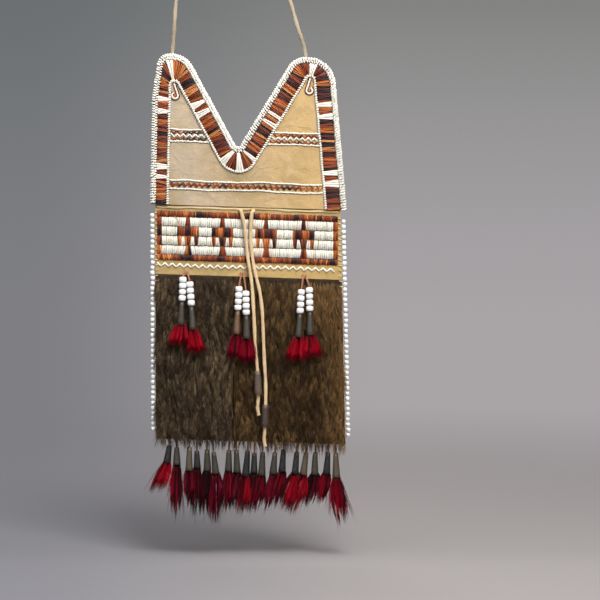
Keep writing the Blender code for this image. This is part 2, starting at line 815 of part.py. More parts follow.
def hooks():
    """Small quill hooks under the peaks: a leaning shaft that ends in a curl."""
    front = YOKE_FRONT - GAP - HOOK_THICK / 2
    for name, side in (("left_hook", 1), ("right_hook", -1)):
        leg = 0 if side == 1 else 3
        line = yoke_line(BORDER_INNER - INNER_LINE, inner=True)[leg]
        top = line[-1] if side == 1 else line[0]
        x = top.x + side * HOOK_ASIDE
        z = top.y - HOOK_TOP
        foot = z - HOOK_DROP
        points = [(x, z), (x + side * HOOK_LEAN / 2, z - HOOK_DROP / 2), (x + side * HOOK_LEAN, foot)]
        for angle in HOOK_TURNS:
            turn = radians(angle)
            points.append((x + side * (HOOK_LEAN - HOOK_CURL * (1 - cos(turn))),
                           foot - HOOK_CURL * sin(turn)))
        tube(name, [world(px, front, pz) for px, pz in points], HOOK_THICK, HOOK_POINT_SPACING, "white_quill")


# Band quillwork

def band_ground():
    """Four lanes of folded white quills on one backing."""
    left = -FRAME_LEFT + GAP
    right = FRAME_RIGHT - GAP
    back = BAND_FRONT - GAP
    valley = back - QUILL * LANE_VALLEY
    crest = back - QUILL
    count = int((right - left) / LANE_QUILL_PITCH)
    pitch = (right - left) / count
    columns = []
    for k in range(count):
        columns.append((left + k * pitch, valley))
        columns.append((left + (k + 0.5) * pitch, crest))
    columns.append((right, valley))
    seam_y = back - QUILL * LANE_SEAM_HEIGHT
    levels = []
    for lane in range(LANES):
        high = LANES_TOP - lane * LANE
        low = high - LANE
        levels.append((high - (LANE_SEAM / 2 if lane else -FRAME_BAR), True))
        levels.append((low + (LANE_SEAM / 2 if lane < LANES - 1 else -FRAME_BAR), True))
        if lane < LANES - 1:
            levels.append((low, False))

    def build(bm):
        rows = []
        for z, on_lane in levels:
            rows.append([bm.verts.new(world(x, y if on_lane else seam_y, z)) for x, y in columns])
        for high, low in zip(rows, rows[1:]):
            for i in range(len(columns) - 1):
                bm.faces.new((high[i], high[i + 1], low[i + 1], low[i]))
        ends = [[bm.verts.new(world(x, back, z)) for x in (left, right)] for z in (levels[0][0], levels[-1][0])]
        (top_left, top_right), (bottom_left, bottom_right) = ends
        bm.faces.new([*rows[0], top_right, top_left])
        bm.faces.new([*rows[-1], bottom_right, bottom_left])
        bm.faces.new([*[row[0] for row in rows], bottom_left, top_left])
        bm.faces.new([*[row[-1] for row in rows], bottom_right, top_right])
        bm.faces.new((top_left, top_right, bottom_right, bottom_left))

    add_object("band_ground", mesh_from("band_ground", build), "white_quill")


def bird_side(x, side):
    """One side of a stepped bird from its head down to its tail."""
    tops = [LANES_TOP - lane * LANE for lane in range(LANES + 1)]
    steps = [
        (HEAD_TOP, tops[0]),
        (HEAD_BASE, tops[1]),
        (WING_SPAN, tops[1]),
        (WING_SPAN, tops[3] + WING_LIFT),
        (WING_SPAN - WING_TIP, tops[3] + WING_LIFT),
        (WING_SPAN - WING_TIP, tops[2]),
        (BODY_TOP, tops[2]),
        (BODY_BASE, tops[3]),
        (TAIL_TOP, tops[3]),
        (TAIL_BASE, tops[4]),
    ]
    return [(x + side * reach, z) for reach, z in steps]


def band_figures():
    """Brown quill frame and the four stepped birds, one body with five windows."""
    outline = [
        (-FRAME_LEFT, FRAME_TOP),
        (FRAME_RIGHT, FRAME_TOP),
        (FRAME_RIGHT, FRAME_BOTTOM),
        (-FRAME_LEFT, FRAME_BOTTOM),
    ]
    left_posts = [[(-FRAME_LEFT + FRAME_POST, LANES_TOP), (-FRAME_LEFT + FRAME_POST, LANES_BOTTOM)]]
    for x in BIRD_X:
        left_posts.append(bird_side(x, 1))
    right_posts = [bird_side(x, -1) for x in BIRD_X]
    right_posts.append([(FRAME_RIGHT - FRAME_POST, LANES_TOP), (FRAME_RIGHT - FRAME_POST, LANES_BOTTOM)])
    windows = [left + list(reversed(right)) for left, right in zip(left_posts, right_posts)]
    front = BAND_FRONT - GAP - QUILL - GAP - QUILL
    plate("band_figures", [outline, *windows], front, QUILL, "brown_quill")


def band_zigzag():
    """White zigzag sewn along under the band."""
    left = -FRAME_LEFT
    right = FRAME_RIGHT - BAND_ZIGZAG_SHORT
    count = int((right - left) / (BAND_ZIGZAG_PITCH / 2))
    step_x = (right - left) / count
    half = BAND_ZIGZAG_WIDTH / 2
    upper, lower = [], []
    for k in range(count + 1):
        x = left + k * step_x
        z = -BAND_ZIGZAG_DROP + (BAND_ZIGZAG_SWING if k % 2 else -BAND_ZIGZAG_SWING)
        upper.append((x, z + half))
        lower.append((x, z - half))
    plate("band_zigzag", [upper + list(reversed(lower))], BAND_FRONT - GAP - QUILL, QUILL, "white_quill")


# Fur

def pelt(name, left_at, right_at):
    """A pelt: its skin behind, its pile swelling down from the band's hem in vertical locks."""
    top = -BAND_HEM - GAP

    def section(x_share, lock):
        crest = lock % 2
        relief = LOCK_RELIEF * (crest - 0.5)
        bottom = -POUCH_DEPTH + (0 if crest else LOCK_DROP)
        points = []
        for share in PILE_LEVELS:
            z = top + (bottom - top) * share
            pile = PILE_TOP + (PILE_FULL - PILE_TOP) * step((top - z) / PILE_RISE_OVER)
            points.append((-pile - relief * min(share * 8, 1), z))
        points.append((-PILE_FULL * PILE_CURL, bottom))
        points.append((0.0, bottom))
        points.append((0.0, top))
        placed = []
        for y, z in points:
            x = left_at(z) + (right_at(z) - left_at(z)) * x_share
            placed.append(world(x, y, z))
        return placed

    width = right_at(-POUCH_DEPTH) - left_at(-POUCH_DEPTH)
    count = max(int(round(width / LOCK_WIDTH)), 4)

    def build(bm):
        loft(bm, [section(k / count, k) for k in range(count + 1)])

    add_object(name, mesh_from(name, build), "fur")


def pelts():
    pelt("fur_left", lambda z: -POUCH_LEFT, lambda z: PELT_SEAM_X - GAP / 2)
    pelt("fur_right", lambda z: PELT_SEAM_X + GAP / 2, pouch_right)


# Side beads

def bead_string(name, x_at):
    """A string of seed beads down one side seam."""
    length = POUCH_DEPTH - BEAD_STRING_LIFT - BEAD_STRING_TOP
    count = int(length / SEED_BEAD)
    rings = []
    for k in range(count):
        top = -BEAD_STRING_TOP - k * SEED_BEAD
        rings.append((SEED_BEAD_NECK, top))
        rings.append((SEED_BEAD / 2 - GAP / 2, top - SEED_BEAD / 2))
    rings.append((SEED_BEAD_NECK, -BEAD_STRING_TOP - count * SEED_BEAD))

    def build(bm):
        loft(bm, [ring(world(x_at(z), 0, z), radius, radius, SIDES_SMALL) for radius, z in rings])

    add_object(name, mesh_from(name, build), "bead", smooth=True)


def bead_strings():
    beyond = GAP + SEED_BEAD / 2
    bead_string("left_bead_string", lambda z: -POUCH_LEFT - beyond)
    bead_string("right_bead_string", lambda z: pouch_right(z) + beyond)


# Strap and ties: route points chosen by hand, in mm as (x, y, z) of the bag's own plan

STRAP_ROUTE = (
    (-69.0, 3.8, 116.0),
    (-69.0, 4.9, 127.0),
    (-68.8, 4.9, 137.0),
    (-67.8, 3.0, 148.0),
    (-66.6, 0.0, 162.0),
    (-65.6, 0.0, 176.0),
    (-63.0, 0.0, 206.0),
    (-58.5, 0.0, 230.0),
    (-50.0, 0.0, 254.0),
    (-37.0, 0.0, 272.5),
    (-19.4, 0.0, 279.6),
    (-2.0, 0.0, 273.0),
    (10.5, 0.0, 256.0),
    (19.5, 0.0, 234.0),
    (28.0, 0.0, 209.0),
    (37.2, 0.0, 182.6),
    (41.0, 0.0, 170.0),
    (45.0, 0.0, 157.0),
    (48.4, 3.0, 147.0),
    (50.6, 4.9, 137.0),
    (52.6, 4.9, 127.0),
    (54.0, 3.8, 116.0),
)

TIE_LEFT_ROUTE = (
    (-8.2, -0.6, -3.0),
    (-8.2, -3.0, -3.0),
    (-7.6, -5.2, -3.6),
    (-6.6, -5.9, -6.6),
    (-4.4, -5.6, -17.0),
    (-2.4, -5.6, -36.0),
    (-0.6, -5.6, -50.0),
    (2.0, -6.4, -67.0),
    (3.4, -7.6, -84.0),
    (4.4, -8.4, -104.0),
    (5.3, -8.8, -126.0),
    (7.1, -9.2, -144.0),
    (7.65, -9.2, -157.0),
    (8.1, -9.2, -170.0),
    (7.6, -9.0, -176.0),
    (7.4, -8.8, -181.0),
    (8.4, -8.8, -187.0),
)

TIE_RIGHT_ROUTE = (
    (4.0, -0.6, -3.2),
    (4.0, -3.0, -3.2),
    (3.3, -5.2, -3.8),
    (2.2, -5.9, -7.0),
    (1.2, -5.6, -26.0),
    (3.0, -5.6, -46.0),
    (6.6, -6.2, -64.0),
    (9.4, -7.4, -76.0),
    (11.4, -8.0, -92.0),
    (12.4, -8.4, -112.0),
    (13.4, -8.8, -136.0),
    (14.6, -9.1, -158.0),
    (14.6, -9.3, -174.0),
    (14.25, -9.35, -187.0),
    (13.8, -9.4, -199.0),
    (13.5, -9.3, -204.0),
    (13.2, -9.0, -209.0),
    (14.2, -9.0, -215.0),
)


def strap_and_ties():
    for name, route, thick in (
        ("strap", STRAP_ROUTE, STRAP_THICK),
        ("tie_left", TIE_LEFT_ROUTE, TIE_THICK),
        ("tie_right", TIE_RIGHT_ROUTE, TIE_THICK),
    ):
        tube(name, [world(*point) for point in route], thick, thick * 3, "thong")


def cone_mesh(name, length, top, mouth, bore=None):
    """Rolled tin cone: open at the mouth, and right through where a thong passes."""
    sides = SIDES_FINE

    def build(bm):
        outside = [(top / 2, 0.0), (mouth / 2, -length)]
        inside = [(mouth / 2 - CONE_WALL, -length)]
        if bore:
            inside.append((bore / 2, 0.0))
        else:
            inside.append((mouth / 2 - CONE_WALL - CONE_SOCKET_TAPER, -length + CONE_SOCKET))
        rings = [[bm.verts.new(p) for p in ring((0, 0, z * MM), r, r, sides)] for r, z in outside + inside]
        pairs = list(zip(rings, rings[1:]))
        if bore:
            pairs.append((rings[-1], rings[0]))
        for a, b in pairs:
            for i in range(sides):
                j = (i + 1) % sides
                bm.faces.new((a[i], a[j], b[j], b[i]))
        if not bore:
            bm.faces.new(rings[0])
            bm.faces.new(rings[-1])

    return mesh_from(name, build)


def tie_cones():
    """Tin cones threaded on the tie's two ends."""
    bore = (TIE_THICK + 3 * GAP) / cos(pi / SIDES_FINE)
    for name, top, foot in (
        ("tie_cone_left", (7.3, -9.2, -146.5), (8.0, -9.2, -168.0)),
        ("tie_cone_right", (14.5, -9.3, -177.0), (13.9, -9.4, -197.0)),
    ):
        a = world(*top)
        b = world(*foot)
        way = (b - a).normalized()
        mesh = cone_mesh(name, (b - a).length / MM, bore + 2 * CONE_WALL, TIE_CONE_MOUTH, bore)
        item = add_object(name, mesh, "tin", location=a, smooth=True)
        item.rotation_mode = "QUATERNION"
        item.rotation_quaternion = Vector((0, 0, -1)).rotation_difference(way)


# Front dangles: x of the thong's top and of the bead line, lean for each mm down, first bead's drop below
# the seam, hair length, and the hair's sideways flare and half width
DANGLES = (
    ("dangle_1_left", -57.7, -59.7, -0.04, 66.9, 19.0, -2.0, 6.4),
    ("dangle_1_right", -55.3, -53.4, 0.07, 71.1, 22.0, 2.2, 6.4),
    ("dangle_2_left", -7.4, -9.4, -0.05, 73.7, 22.0, -1.6, 4.6),
    ("dangle_2_right", -5.0, -3.1, 0.02, 77.8, 23.0, 0.4, 4.4),
    ("dangle_3_left", 48.1, 46.6, -0.06, 74.7, 22.0, -2.4, 6.2),
    ("dangle_3_right", 50.7, 53.9, 0.02, 72.8, 21.0, 2.0, 6.4),
)

# Tassels: x of the thong's top, cone's drop below the hem and length, sideways shift at the cone's mouth,
# hair length and the hair's further sideways shift
TASSELS = (
    (-72.1, 4.6, 15.8, -2.8, 30.0, -12.5),
    (-66.2, 6.4, 15.6, 0.2, 51.0, -1.6),
    (-54.4, 5.8, 21.2, -0.4, 33.0, -0.8),
    (-48.0, 9.0, 15.6, 0.6, 48.0, -1.2),
    (-38.8, 7.6, 19.3, 0.4, 40.0, -1.4),
    (-33.6, 9.8, 19.6, 3.0, 49.0, 0.0),
    (-18.7, 7.4, 19.0, -0.6, 40.0, -4.4),
    (-12.2, 7.0, 20.4, 0.8, 39.0, -4.8),
    (-1.4, 7.4, 23.2, -2.4, 38.0, -5.0),
    (4.5, 9.2, 18.2, -0.6, 38.0, -5.4),
    (11.9, 8.2, 21.2, -1.2, 36.0, -6.0),
    (23.6, 8.2, 19.4, -2.5, 37.0, -8.8),
    (31.0, 5.2, 20.3, -1.8, 36.0, -9.6),
    (43.2, 7.0, 20.0, -2.2, 37.0, -12.0),
    (51.9, 7.4, 20.0, -3.4, 39.0, -12.5),
    (59.4, 6.9, 20.4, -0.7, 30.0, -7.4),
    (71.3, 6.4, 19.7, -1.8, 28.0, -7.4),
    (77.6, 7.0, 22.0, 0.6, 46.0, 5.4),
)


def turned_at(centre_of, profile, sides):
    """Rings of a hanging piece in its own frame: centre_of(drop) gives x and y in mm."""
    rings = []
    for drop, rx, ry in profile:
        x, y = centre_of(drop)
        rings.append(ring((x * MM, y * MM, -drop * MM), rx, ry, sides))
    return rings


def hinge(name, at):
    empty = bpy.data.objects.new(name, None)
    empty.location = at
    empty.empty_display_size = 0.004
    PARTS.objects.link(empty)
    return empty


def dangle(name, top_x, line_x, lean, first_bead, hair_length, flare, hair_half):
    """Thong with four beads, its tin cone and hair, all turning about the thong's top."""
    thong = FINE_THONG / 2
    top_y = BAND_FRONT - GAP - thong
    pivot = world(top_x, top_y, -HANGER_DROP)
    pin = hinge(name + "_hinge", pivot)
    first = first_bead - HANGER_DROP
    line_y = DANGLE_STAND_OFF - top_y

    def on_line(drop):
        return line_x - top_x + lean * (drop - first), line_y - DANGLE_SLOPE * drop

    def beaded(drop):
        near = step(drop / DANGLE_BEND)
        x, y = on_line(drop)
        return x * step(drop / (first - PONY_BEAD / 2)), y * near

    bead = PONY_BEAD / 2
    knot = thong * THONG_KNOT
    profile = [(-thong / 2, thong * 0.6, thong * 0.6), (thong / 2, thong, thong)]
    profile += [(DANGLE_BEND, thong, thong)]
    for k in range(PONY_BEADS):
        middle = first + k * PONY_PITCH
        profile.append((middle - PONY_PITCH / 2, knot, knot))
        profile.append((middle - PONY_PITCH * BEAD_SHOULDER, bead, bead))
        profile.append((middle + PONY_PITCH * BEAD_SHOULDER, bead, bead))
    beads_end = first + (PONY_BEADS - 0.5) * PONY_PITCH
    profile.append((beads_end, knot, knot))
    beads = mesh_from(name, lambda bm: loft(bm, turned_at(beaded, profile, SIDES)))
    add_object(name + "_beads", beads, "bead", smooth=True).parent = pin

    cone_top = beads_end + GAP
    x, y = on_line(cone_top)
    foot_x, foot_y = on_line(cone_top + CONE_LENGTH)
    cone = add_object(name + "_cone", cone_mesh(name, CONE_LENGTH, CONE_TOP, CONE_MOUTH), "tin",
                      location=(x * MM, y * MM, -cone_top * MM), smooth=True)
    cone.rotation_mode = "QUATERNION"
    way = Vector((foot_x - x, foot_y - y, -CONE_LENGTH))
    cone.rotation_quaternion = Vector((0, 0, -1)).rotation_difference(way)
    cone.parent = pin

    mouth = cone_top + CONE_LENGTH
    root = mouth - CONE_SOCKET + 2 * GAP

    def hair_line(drop):
        x, y = on_line(drop)
        share = max(drop - mouth, 0.0) / hair_length
        return x + flare * share, y

    socket = CONE_MOUTH / 2 - CONE_WALL - 2 * GAP
    hair_profile = [(root, socket * HAIR_ROOT, socket * HAIR_ROOT), (mouth, socket, socket)]
    for share, wide, deep in DANGLE_HAIR:
        hair_profile.append((mouth + hair_length * share, hair_half * wide, socket * deep))
    hair = mesh_from(name, lambda bm: loft(bm, turned_at(hair_line, hair_profile, SIDES)))
    add_object(name + "_hair", hair, "red_hair", smooth=True).parent = pin


def tassel_lines():
    """Each tassel's x at its cone's mouth and at its hair's tip."""
    return [(x + shift, x + shift + drift) for x, _, _, shift, _, drift in TASSELS]


def tassel(number, top_x, cone_drop, cone_length, shift, hair_length, drift):
    """Thong, tin cone and red hair in one piece, turning where the thong leaves the hem."""
    thong = FINE_THONG / 2
    pivot = world(top_x, BACK_FRONT + HIDE / 2, -POUCH_DEPTH - GAP - thong)
    lines = tassel_lines()
    here = lines[number]
    room = HAIR_HALF
    for other in (number - 1, number + 1):
        if 0 <= other < len(lines):
            for mine, theirs in zip(here, lines[other]):
                room = min(room, abs(theirs - mine) / 2 - GAP)
    mouth = cone_drop + cone_length

    def line(drop):
        if drop <= mouth:
            return shift * max(drop, 0.0) / mouth, 0.0
        return shift + drift * (drop - mouth) / hair_length, 0.0

    cone_half = TASSEL_CONE_MOUTH / 2
    profile = [
        (-thong / 2, thong * 0.8, thong * 0.8),
        (cone_drop, thong, thong),
        (cone_drop, TASSEL_CONE_TOP / 2, TASSEL_CONE_TOP / 2),
        (mouth, cone_half, cone_half),
        (mouth, cone_half - CONE_WALL, cone_half - CONE_WALL),
    ]
    for share, swell in HAIR_SWELL:
        profile.append((mouth + hair_length * share, room * swell, HAIR_HALF * swell))
    profile.append((mouth + hair_length, HAIR_TIP, HAIR_TIP))
    name = "tassel_%02d" % (number + 1)
    mesh = mesh_from(name, lambda bm: loft(bm, turned_at(line, profile, TASSEL_SIDES)))
    add_object(name, mesh, "red_hair", location=pivot, smooth=True)


def main():
    clear_scene()
    back_panel()
    yoke_panel()
    band_panel()
    pelts()
    yoke_edging()
    yoke_quill_border()
    yoke_inner_line()
    yoke_rows()
    hooks()
    band_ground()
    band_figures()
    band_zigzag()
    bead_strings()
    strap_and_ties()
    tie_cones()
    for sizes in DANGLES:
        dangle(*sizes)
    for number, sizes in enumerate(TASSELS):
        tassel(number, *sizes)


PARTS = collection("quilled_bag")
main()
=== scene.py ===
"""Looks of the quilled bag: hide, quillwork, fur, beads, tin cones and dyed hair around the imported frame.

Sizes are in millimetres and become metres in place(). X runs to the right, Z up and the front faces -Y.
Plan sizes are measured from the bag's middle line (x) and from the seam under the yoke (z), as in the CAD.
"""

from math import cos, pi, radians, sin, tan

import bmesh
import bpy
import numpy as np
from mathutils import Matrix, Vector


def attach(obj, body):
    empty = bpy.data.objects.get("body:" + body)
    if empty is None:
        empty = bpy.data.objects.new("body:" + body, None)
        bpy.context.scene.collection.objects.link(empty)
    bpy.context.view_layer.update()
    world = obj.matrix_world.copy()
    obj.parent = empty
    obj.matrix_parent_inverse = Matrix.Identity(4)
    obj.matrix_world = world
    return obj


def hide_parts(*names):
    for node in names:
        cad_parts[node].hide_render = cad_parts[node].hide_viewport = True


MM = 0.001

# Hang, hide and stacking, the same values as in the CAD source
STRAP_LOOP_RISE = 145.8
HANG_OFFSET = 19.4
ASKEW = 0.032
HIDE = 1.2
GAP = 0.3
QUILL = 0.7

# Yoke
YOKE_LEFT = 88.6
YOKE_RIGHT = 86.9
LEFT_SHOULDER = 86.3
LEFT_SHOULDER_RISE = 96.0
LEFT_PEAK_OUTER = 80.2
RIGHT_PEAK_OUTER = 75.0
LEFT_PEAK_INNER = 56.5
RIGHT_PEAK_INNER = 40.5
PEAK_RISE = 135.0
LEFT_PEAK_RISE = 134.2
NOTCH_X = -10.3
NOTCH_RISE = 50.2
SHOULDER_ROUND = 80.0
LEFT_PEAK_OUTER_ROUND = 10.6
LEFT_PEAK_INNER_ROUND = 20.0
RIGHT_PEAK_INNER_ROUND = 18.0
RIGHT_PEAK_OUTER_ROUND = 24.0
NOTCH_ROUND = 3.0
INNER_NOTCH_ROUND = 18.6
INNER_PEAK_ROUND = 5.3
LEAST_ROUND = 0.8
FREE_SHARE = 0.95
ARC_STEP = 5.0
EDGING_WIDTH = 4.5
EDGING_LIP = 0.9
EDGING_WEB = 1.5
BORDER_LEFT = 9.2
BORDER_WIDTH = 12.2
INNER_LINE = 2.3
TAB_ROW_TOP = 68.4
TAB_ROW_HEIGHT = 12.8
LOWER_ROW_TOP = 22.6
LOWER_ROW_HEIGHT = 9.2
HOOK_TOP = 3.5
HOOK_DROP = 10.7
HOOK_CURL = 2.7
HOOK_LEAN = 3.4
HOOK_ASIDE = 1.0
HOOK_TURNS = (50, 100, 150, 200, 245)
POCKET_BELOW_NOTCH = 6.0

# Pouch and band
POUCH_LEFT = 84.5
POUCH_RIGHT_TOP = 81.5
POUCH_FLARE = 5.0
POUCH_DEPTH = 212.0
POCKET_DEPTH = 8.0
POCKET_SHOULDER = 25.0
SEAM_ALLOWANCE = 3.5
MOUTH_TUCK = 5.0
BAND_TOP = 5.9
FRAME_LEFT = 82.7
FRAME_RIGHT = 79.3
FRAME_BAR = 5.0
FRAME_POST = 4.0
LANE = 8.5
LANES = 4
BAND_HEM = 62.8
BAND_ZIGZAG_DROP = 54.4
BAND_ZIGZAG_SWING = 1.6
BAND_ZIGZAG_PITCH = 6.8
BIRD_X = (-55.2, -24.2, 14.9, 48.6)
HEAD_TOP = 1.4
HEAD_BASE = 2.3
WING_SPAN = 9.6
WING_TIP = 4.0
BODY_TOP = 3.6
BODY_BASE = 2.1
TAIL_TOP = 1.9
TAIL_BASE = 3.4

# Fur and side beads
PELT_SEAM_X = -15.0
PILE_TOP = 1.7
PILE_FULL = 4.6
PILE_RISE_OVER = 45.0
SEED_BEAD = 4.7
BEAD_STRING_TOP = 8.0
BEAD_STRING_LIFT = 3.0

# Thongs, dangles and tassels
STRAP_THICK = 3.6
TIE_THICK = 3.2
FINE_THONG = 1.7
HANGER_DROP = 59.5
PONY_BEAD = 5.9
PONY_PITCH = 5.5
PONY_BEADS = 4
CONE_LENGTH = 21.0
CONE_TOP = 3.8
CONE_MOUTH = 6.8
CONE_WALL = 0.5
DANGLE_STAND_OFF = -4.6
DANGLE_SLOPE = 0.075
DANGLE_BEND = 5.0
TASSEL_CONE_TOP = 3.4
TASSEL_CONE_MOUTH = 6.2

SEAM_Z = -(STRAP_LOOP_RISE + PEAK_RISE)
LANES_TOP = -BAND_TOP - FRAME_BAR
LANES_BOTTOM = LANES_TOP - LANES * LANE
BAND_FRONT = -HIDE
YOKE_BACK = BAND_FRONT - GAP
YOKE_FRONT = YOKE_BACK - HIDE
BACK_FRONT = GAP
BORDER_INNER = EDGING_WIDTH + GAP + BORDER_WIDTH + INNER_LINE
BORDER_BACK = YOKE_FRONT - GAP

# The photograph: 600 pixels square, 0.9 mm to the pixel at the bag
FRAME_PIXELS = 600
PIXEL = 0.9
VIEW_MIDDLE = Vector((64.85, 0.0, -364.5))
CAMERA_DISTANCE = 2200.0
CAMERA_RISE = radians(4.0)
FLOOR_Z = -598.0

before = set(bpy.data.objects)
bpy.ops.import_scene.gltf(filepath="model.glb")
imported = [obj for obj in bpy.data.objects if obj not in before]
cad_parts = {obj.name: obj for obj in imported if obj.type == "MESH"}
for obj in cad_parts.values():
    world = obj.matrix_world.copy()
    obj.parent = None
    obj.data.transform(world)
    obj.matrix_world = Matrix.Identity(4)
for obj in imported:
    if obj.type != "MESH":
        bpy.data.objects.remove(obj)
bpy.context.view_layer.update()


# Camera, light and floor

def new_object(name, data):
    item = bpy.data.objects.new(name, data)
    bpy.context.scene.collection.objects.link(item)
    return item


def camera():
    """The photo's view: straight on, a little from above, so far off that a pixel is PIXEL mm at the bag."""
    data = bpy.data.cameras.new("camera")
    data.sensor_width = 36.0
    data.lens = data.sensor_width * CAMERA_DISTANCE / (FRAME_PIXELS * PIXEL)
    data.clip_end = 20.0
    item = new_object("camera", data)
    away = Vector((0.0, -cos(CAMERA_RISE), sin(CAMERA_RISE)))
    item.location = (VIEW_MIDDLE + away * CAMERA_DISTANCE) * MM
    item.rotation_euler = away.to_track_quat("Z", "Y").to_euler()
    bpy.context.scene.camera = item


def lamp(name, place, target, size, power, colour):
    """A square soft light in metres and watts, turned to its target."""
    data = bpy.data.lights.new(name, "AREA")
    data.shape = "SQUARE"
    data.size = size
    data.energy = power
    data.color = colour
    item = new_object(name, data)
    item.location = place
    item.rotation_euler = (Vector(place) - Vector(target)).to_track_quat("Z", "Y").to_euler()


def lights():
    """A key light from the front right, a cool fill, a light from above and a weak one behind the bag."""
    middle = (0.02, 0.0, -0.36)
    lamp("key", (0.45, -1.05, 0.95), middle, 0.8, 44.0, (1.0, 0.97, 0.92))
    lamp("fill", (-1.5, -1.3, 0.2), middle, 1.2, 7.0, (0.92, 0.96, 1.0))
    lamp("top", (0.02, -0.25, 1.3), (0.02, -0.05, -0.6), 0.8, 18.0, (1.0, 0.985, 0.96))
    lamp("rear", (-0.5, 1.5, 0.5), middle, 1.0, 12.0, (1.0, 0.98, 0.95))
    world = bpy.data.worlds.new("studio")
    bpy.context.scene.world = world
    world.use_nodes = True
    tree = world.node_tree
    shining = tree.nodes["Background"]
    shining.inputs["Color"].default_value = (0.75, 0.77, 0.80, 1.0)
    shining.inputs["Strength"].default_value = 0.16
    seen = tree.nodes.new("ShaderNodeBackground")
    seen.inputs["Color"].default_value = (0.36, 0.34, 0.35, 1.0)
    either = tree.nodes.new("ShaderNodeMixShader")
    for source, socket in zip((seen_directly(tree), shining.outputs[0], seen.outputs[0]), either.inputs):
        tree.links.new(source, socket)
    tree.links.new(either.outputs[0], tree.nodes["World Output"].inputs["Surface"])
    bpy.context.scene.view_settings.view_transform = "Standard"


def floor():
    """A paper floor that sweeps up into a backdrop, far enough back for a look at the bag's rear."""
    flat_to, sweep_radius, steps = 2.6, 0.8, 16
    profile = [(-9.0, FLOOR_Z * MM), (flat_to, FLOOR_Z * MM)]
    for k in range(1, steps + 1):
        turn = pi / 2 * k / steps
        profile.append((flat_to + sweep_radius * sin(turn), FLOOR_Z * MM + sweep_radius * (1 - cos(turn))))
    profile.append((flat_to + sweep_radius, 3.2))
    bm = bmesh.new()
    rows = [[bm.verts.new((x, y, z)) for y, z in profile] for x in (-9.0, 9.0)]
    for i in range(len(profile) - 1):
        bm.faces.new((rows[0][i], rows[1][i], rows[1][i + 1], rows[0][i + 1]))
    mesh = bpy.data.meshes.new("floor")
    bm.to_mesh(mesh)
    bm.free()
    mesh.shade_smooth()
    mesh.materials.append(floor_material())
    new_object("floor", mesh)


# Materials

class Look:
    """A material's node tree with short calls for the nodes used here."""

    def __init__(self, name):
        self.material = bpy.data.materials.new(name)
        self.material.use_nodes = True
        self.tree = self.material.node_tree
        self.shader = self.tree.nodes["Principled BSDF"]

    def make(self, kind, output, inputs=(), **settings):
        """A node with its settings and inputs, and the output to go on with."""
        made = self.tree.nodes.new("ShaderNode" + kind)
        for key, value in settings.items():
            setattr(made, key, value)
        for key, value in dict(inputs).items():
            self.feed(value, made.inputs[key])
        return made.outputs[output]

    def feed(self, value, socket):
        """Sets a socket to a number, vector or colour, or links another node's output to it."""
        if isinstance(value, tuple):
            socket.default_value = (*value, 1.0)[:len(socket.default_value)]
        elif isinstance(value, (float, int)):
            socket.default_value = value
        else:
            self.tree.links.new(value, socket)

    def set(self, **values):
        for key, value in values.items():
            self.feed(value, self.shader.inputs[key.replace("_", " ")])

    def position(self):
        return self.make("TexCoord", "Object")

    def attribute(self, name, socket="Color"):
        return self.make("Attribute", socket, attribute_name=name)

    def scaled(self, vector, scale):
        return self.make("Mapping", "Vector", {"Vector": vector, "Scale": scale})

    def noise(self, vector, scale, detail=4.0, rough=0.55, warp=0.0):
        return self.make("TexNoise", "Fac", {
            "Vector": vector,
            "Scale": scale,
            "Detail": detail,
            "Roughness": rough,
            "Distortion": warp,
        })

    def streaks(self, stretch, scale, detail, rough):
        """Noise drawn out along the piece's own grain."""
        return self.noise(self.scaled(self.attribute("grain", "Vector"), stretch), scale, detail, rough)

    def ramp(self, factor, stops):
        made = self.tree.nodes.new("ShaderNodeValToRGB")
        while len(made.color_ramp.elements) < len(stops):
            made.color_ramp.elements.new(0.5)
        for element, (at, colour) in zip(made.color_ramp.elements, stops):
            element.position = at
            element.color = (*colour, 1.0) if isinstance(colour, tuple) else (colour, colour, colour, 1.0)
        self.feed(factor, made.inputs["Fac"])
        return made.outputs["Color"]

    def mix(self, first, second, factor, kind="MIX"):
        return self.make("Mix", 2, {0: factor, 6: first, 7: second}, data_type="RGBA", blend_type=kind)

    def times(self, first, second):
        return self.mix(first, second, 1.0, "MULTIPLY")

    def patch(self, base, colour, mask, low, high, most):
        """A tone that goes over to a colour, at most by a share, where a mask rises from low to high."""
        return self.mix(base, colour, self.ramp(mask, [(low, 0.0), (high, most)]))

    def maths(self, operation, first, second):
        return self.make("Math", 0, {0: first, 1: second}, operation=operation)

    def part(self, vector, axis):
        return self.make("SeparateXYZ", axis, {0: vector})

    def remap(self, value, low, high, to_low=0.0, to_high=1.0):
        ends = {"From Min": low, "From Max": high, "To Min": to_low, "To Max": to_high}
        return self.make("MapRange", "Result", {"Value": value, **ends}, interpolation_type="SMOOTHSTEP")

    def bump(self, height, strength, distance, under=None):
        """Relief on the shader, over the relief that an earlier call returned."""
        inputs = {"Strength": strength, "Distance": distance, "Height": height}
        if under is not None:
            inputs["Normal"] = under
        normal = self.make("Bump", "Normal", inputs)
        self.set(Normal=normal)
        return normal


def seen_directly(tree):
    """1 for rays from the camera or off metal and glass, 0 for the light that falls on things."""
    rays = tree.nodes.new("ShaderNodeLightPath")
    found = rays.outputs["Is Camera Ray"]
    for name in ("Is Glossy Ray", "Is Transmission Ray"):
        either = tree.nodes.new("ShaderNodeMath")
        either.operation = "MAXIMUM"
        tree.links.new(found, either.inputs[0])
        tree.links.new(rays.outputs[name], either.inputs[1])
        found = either.outputs[0]
    return found


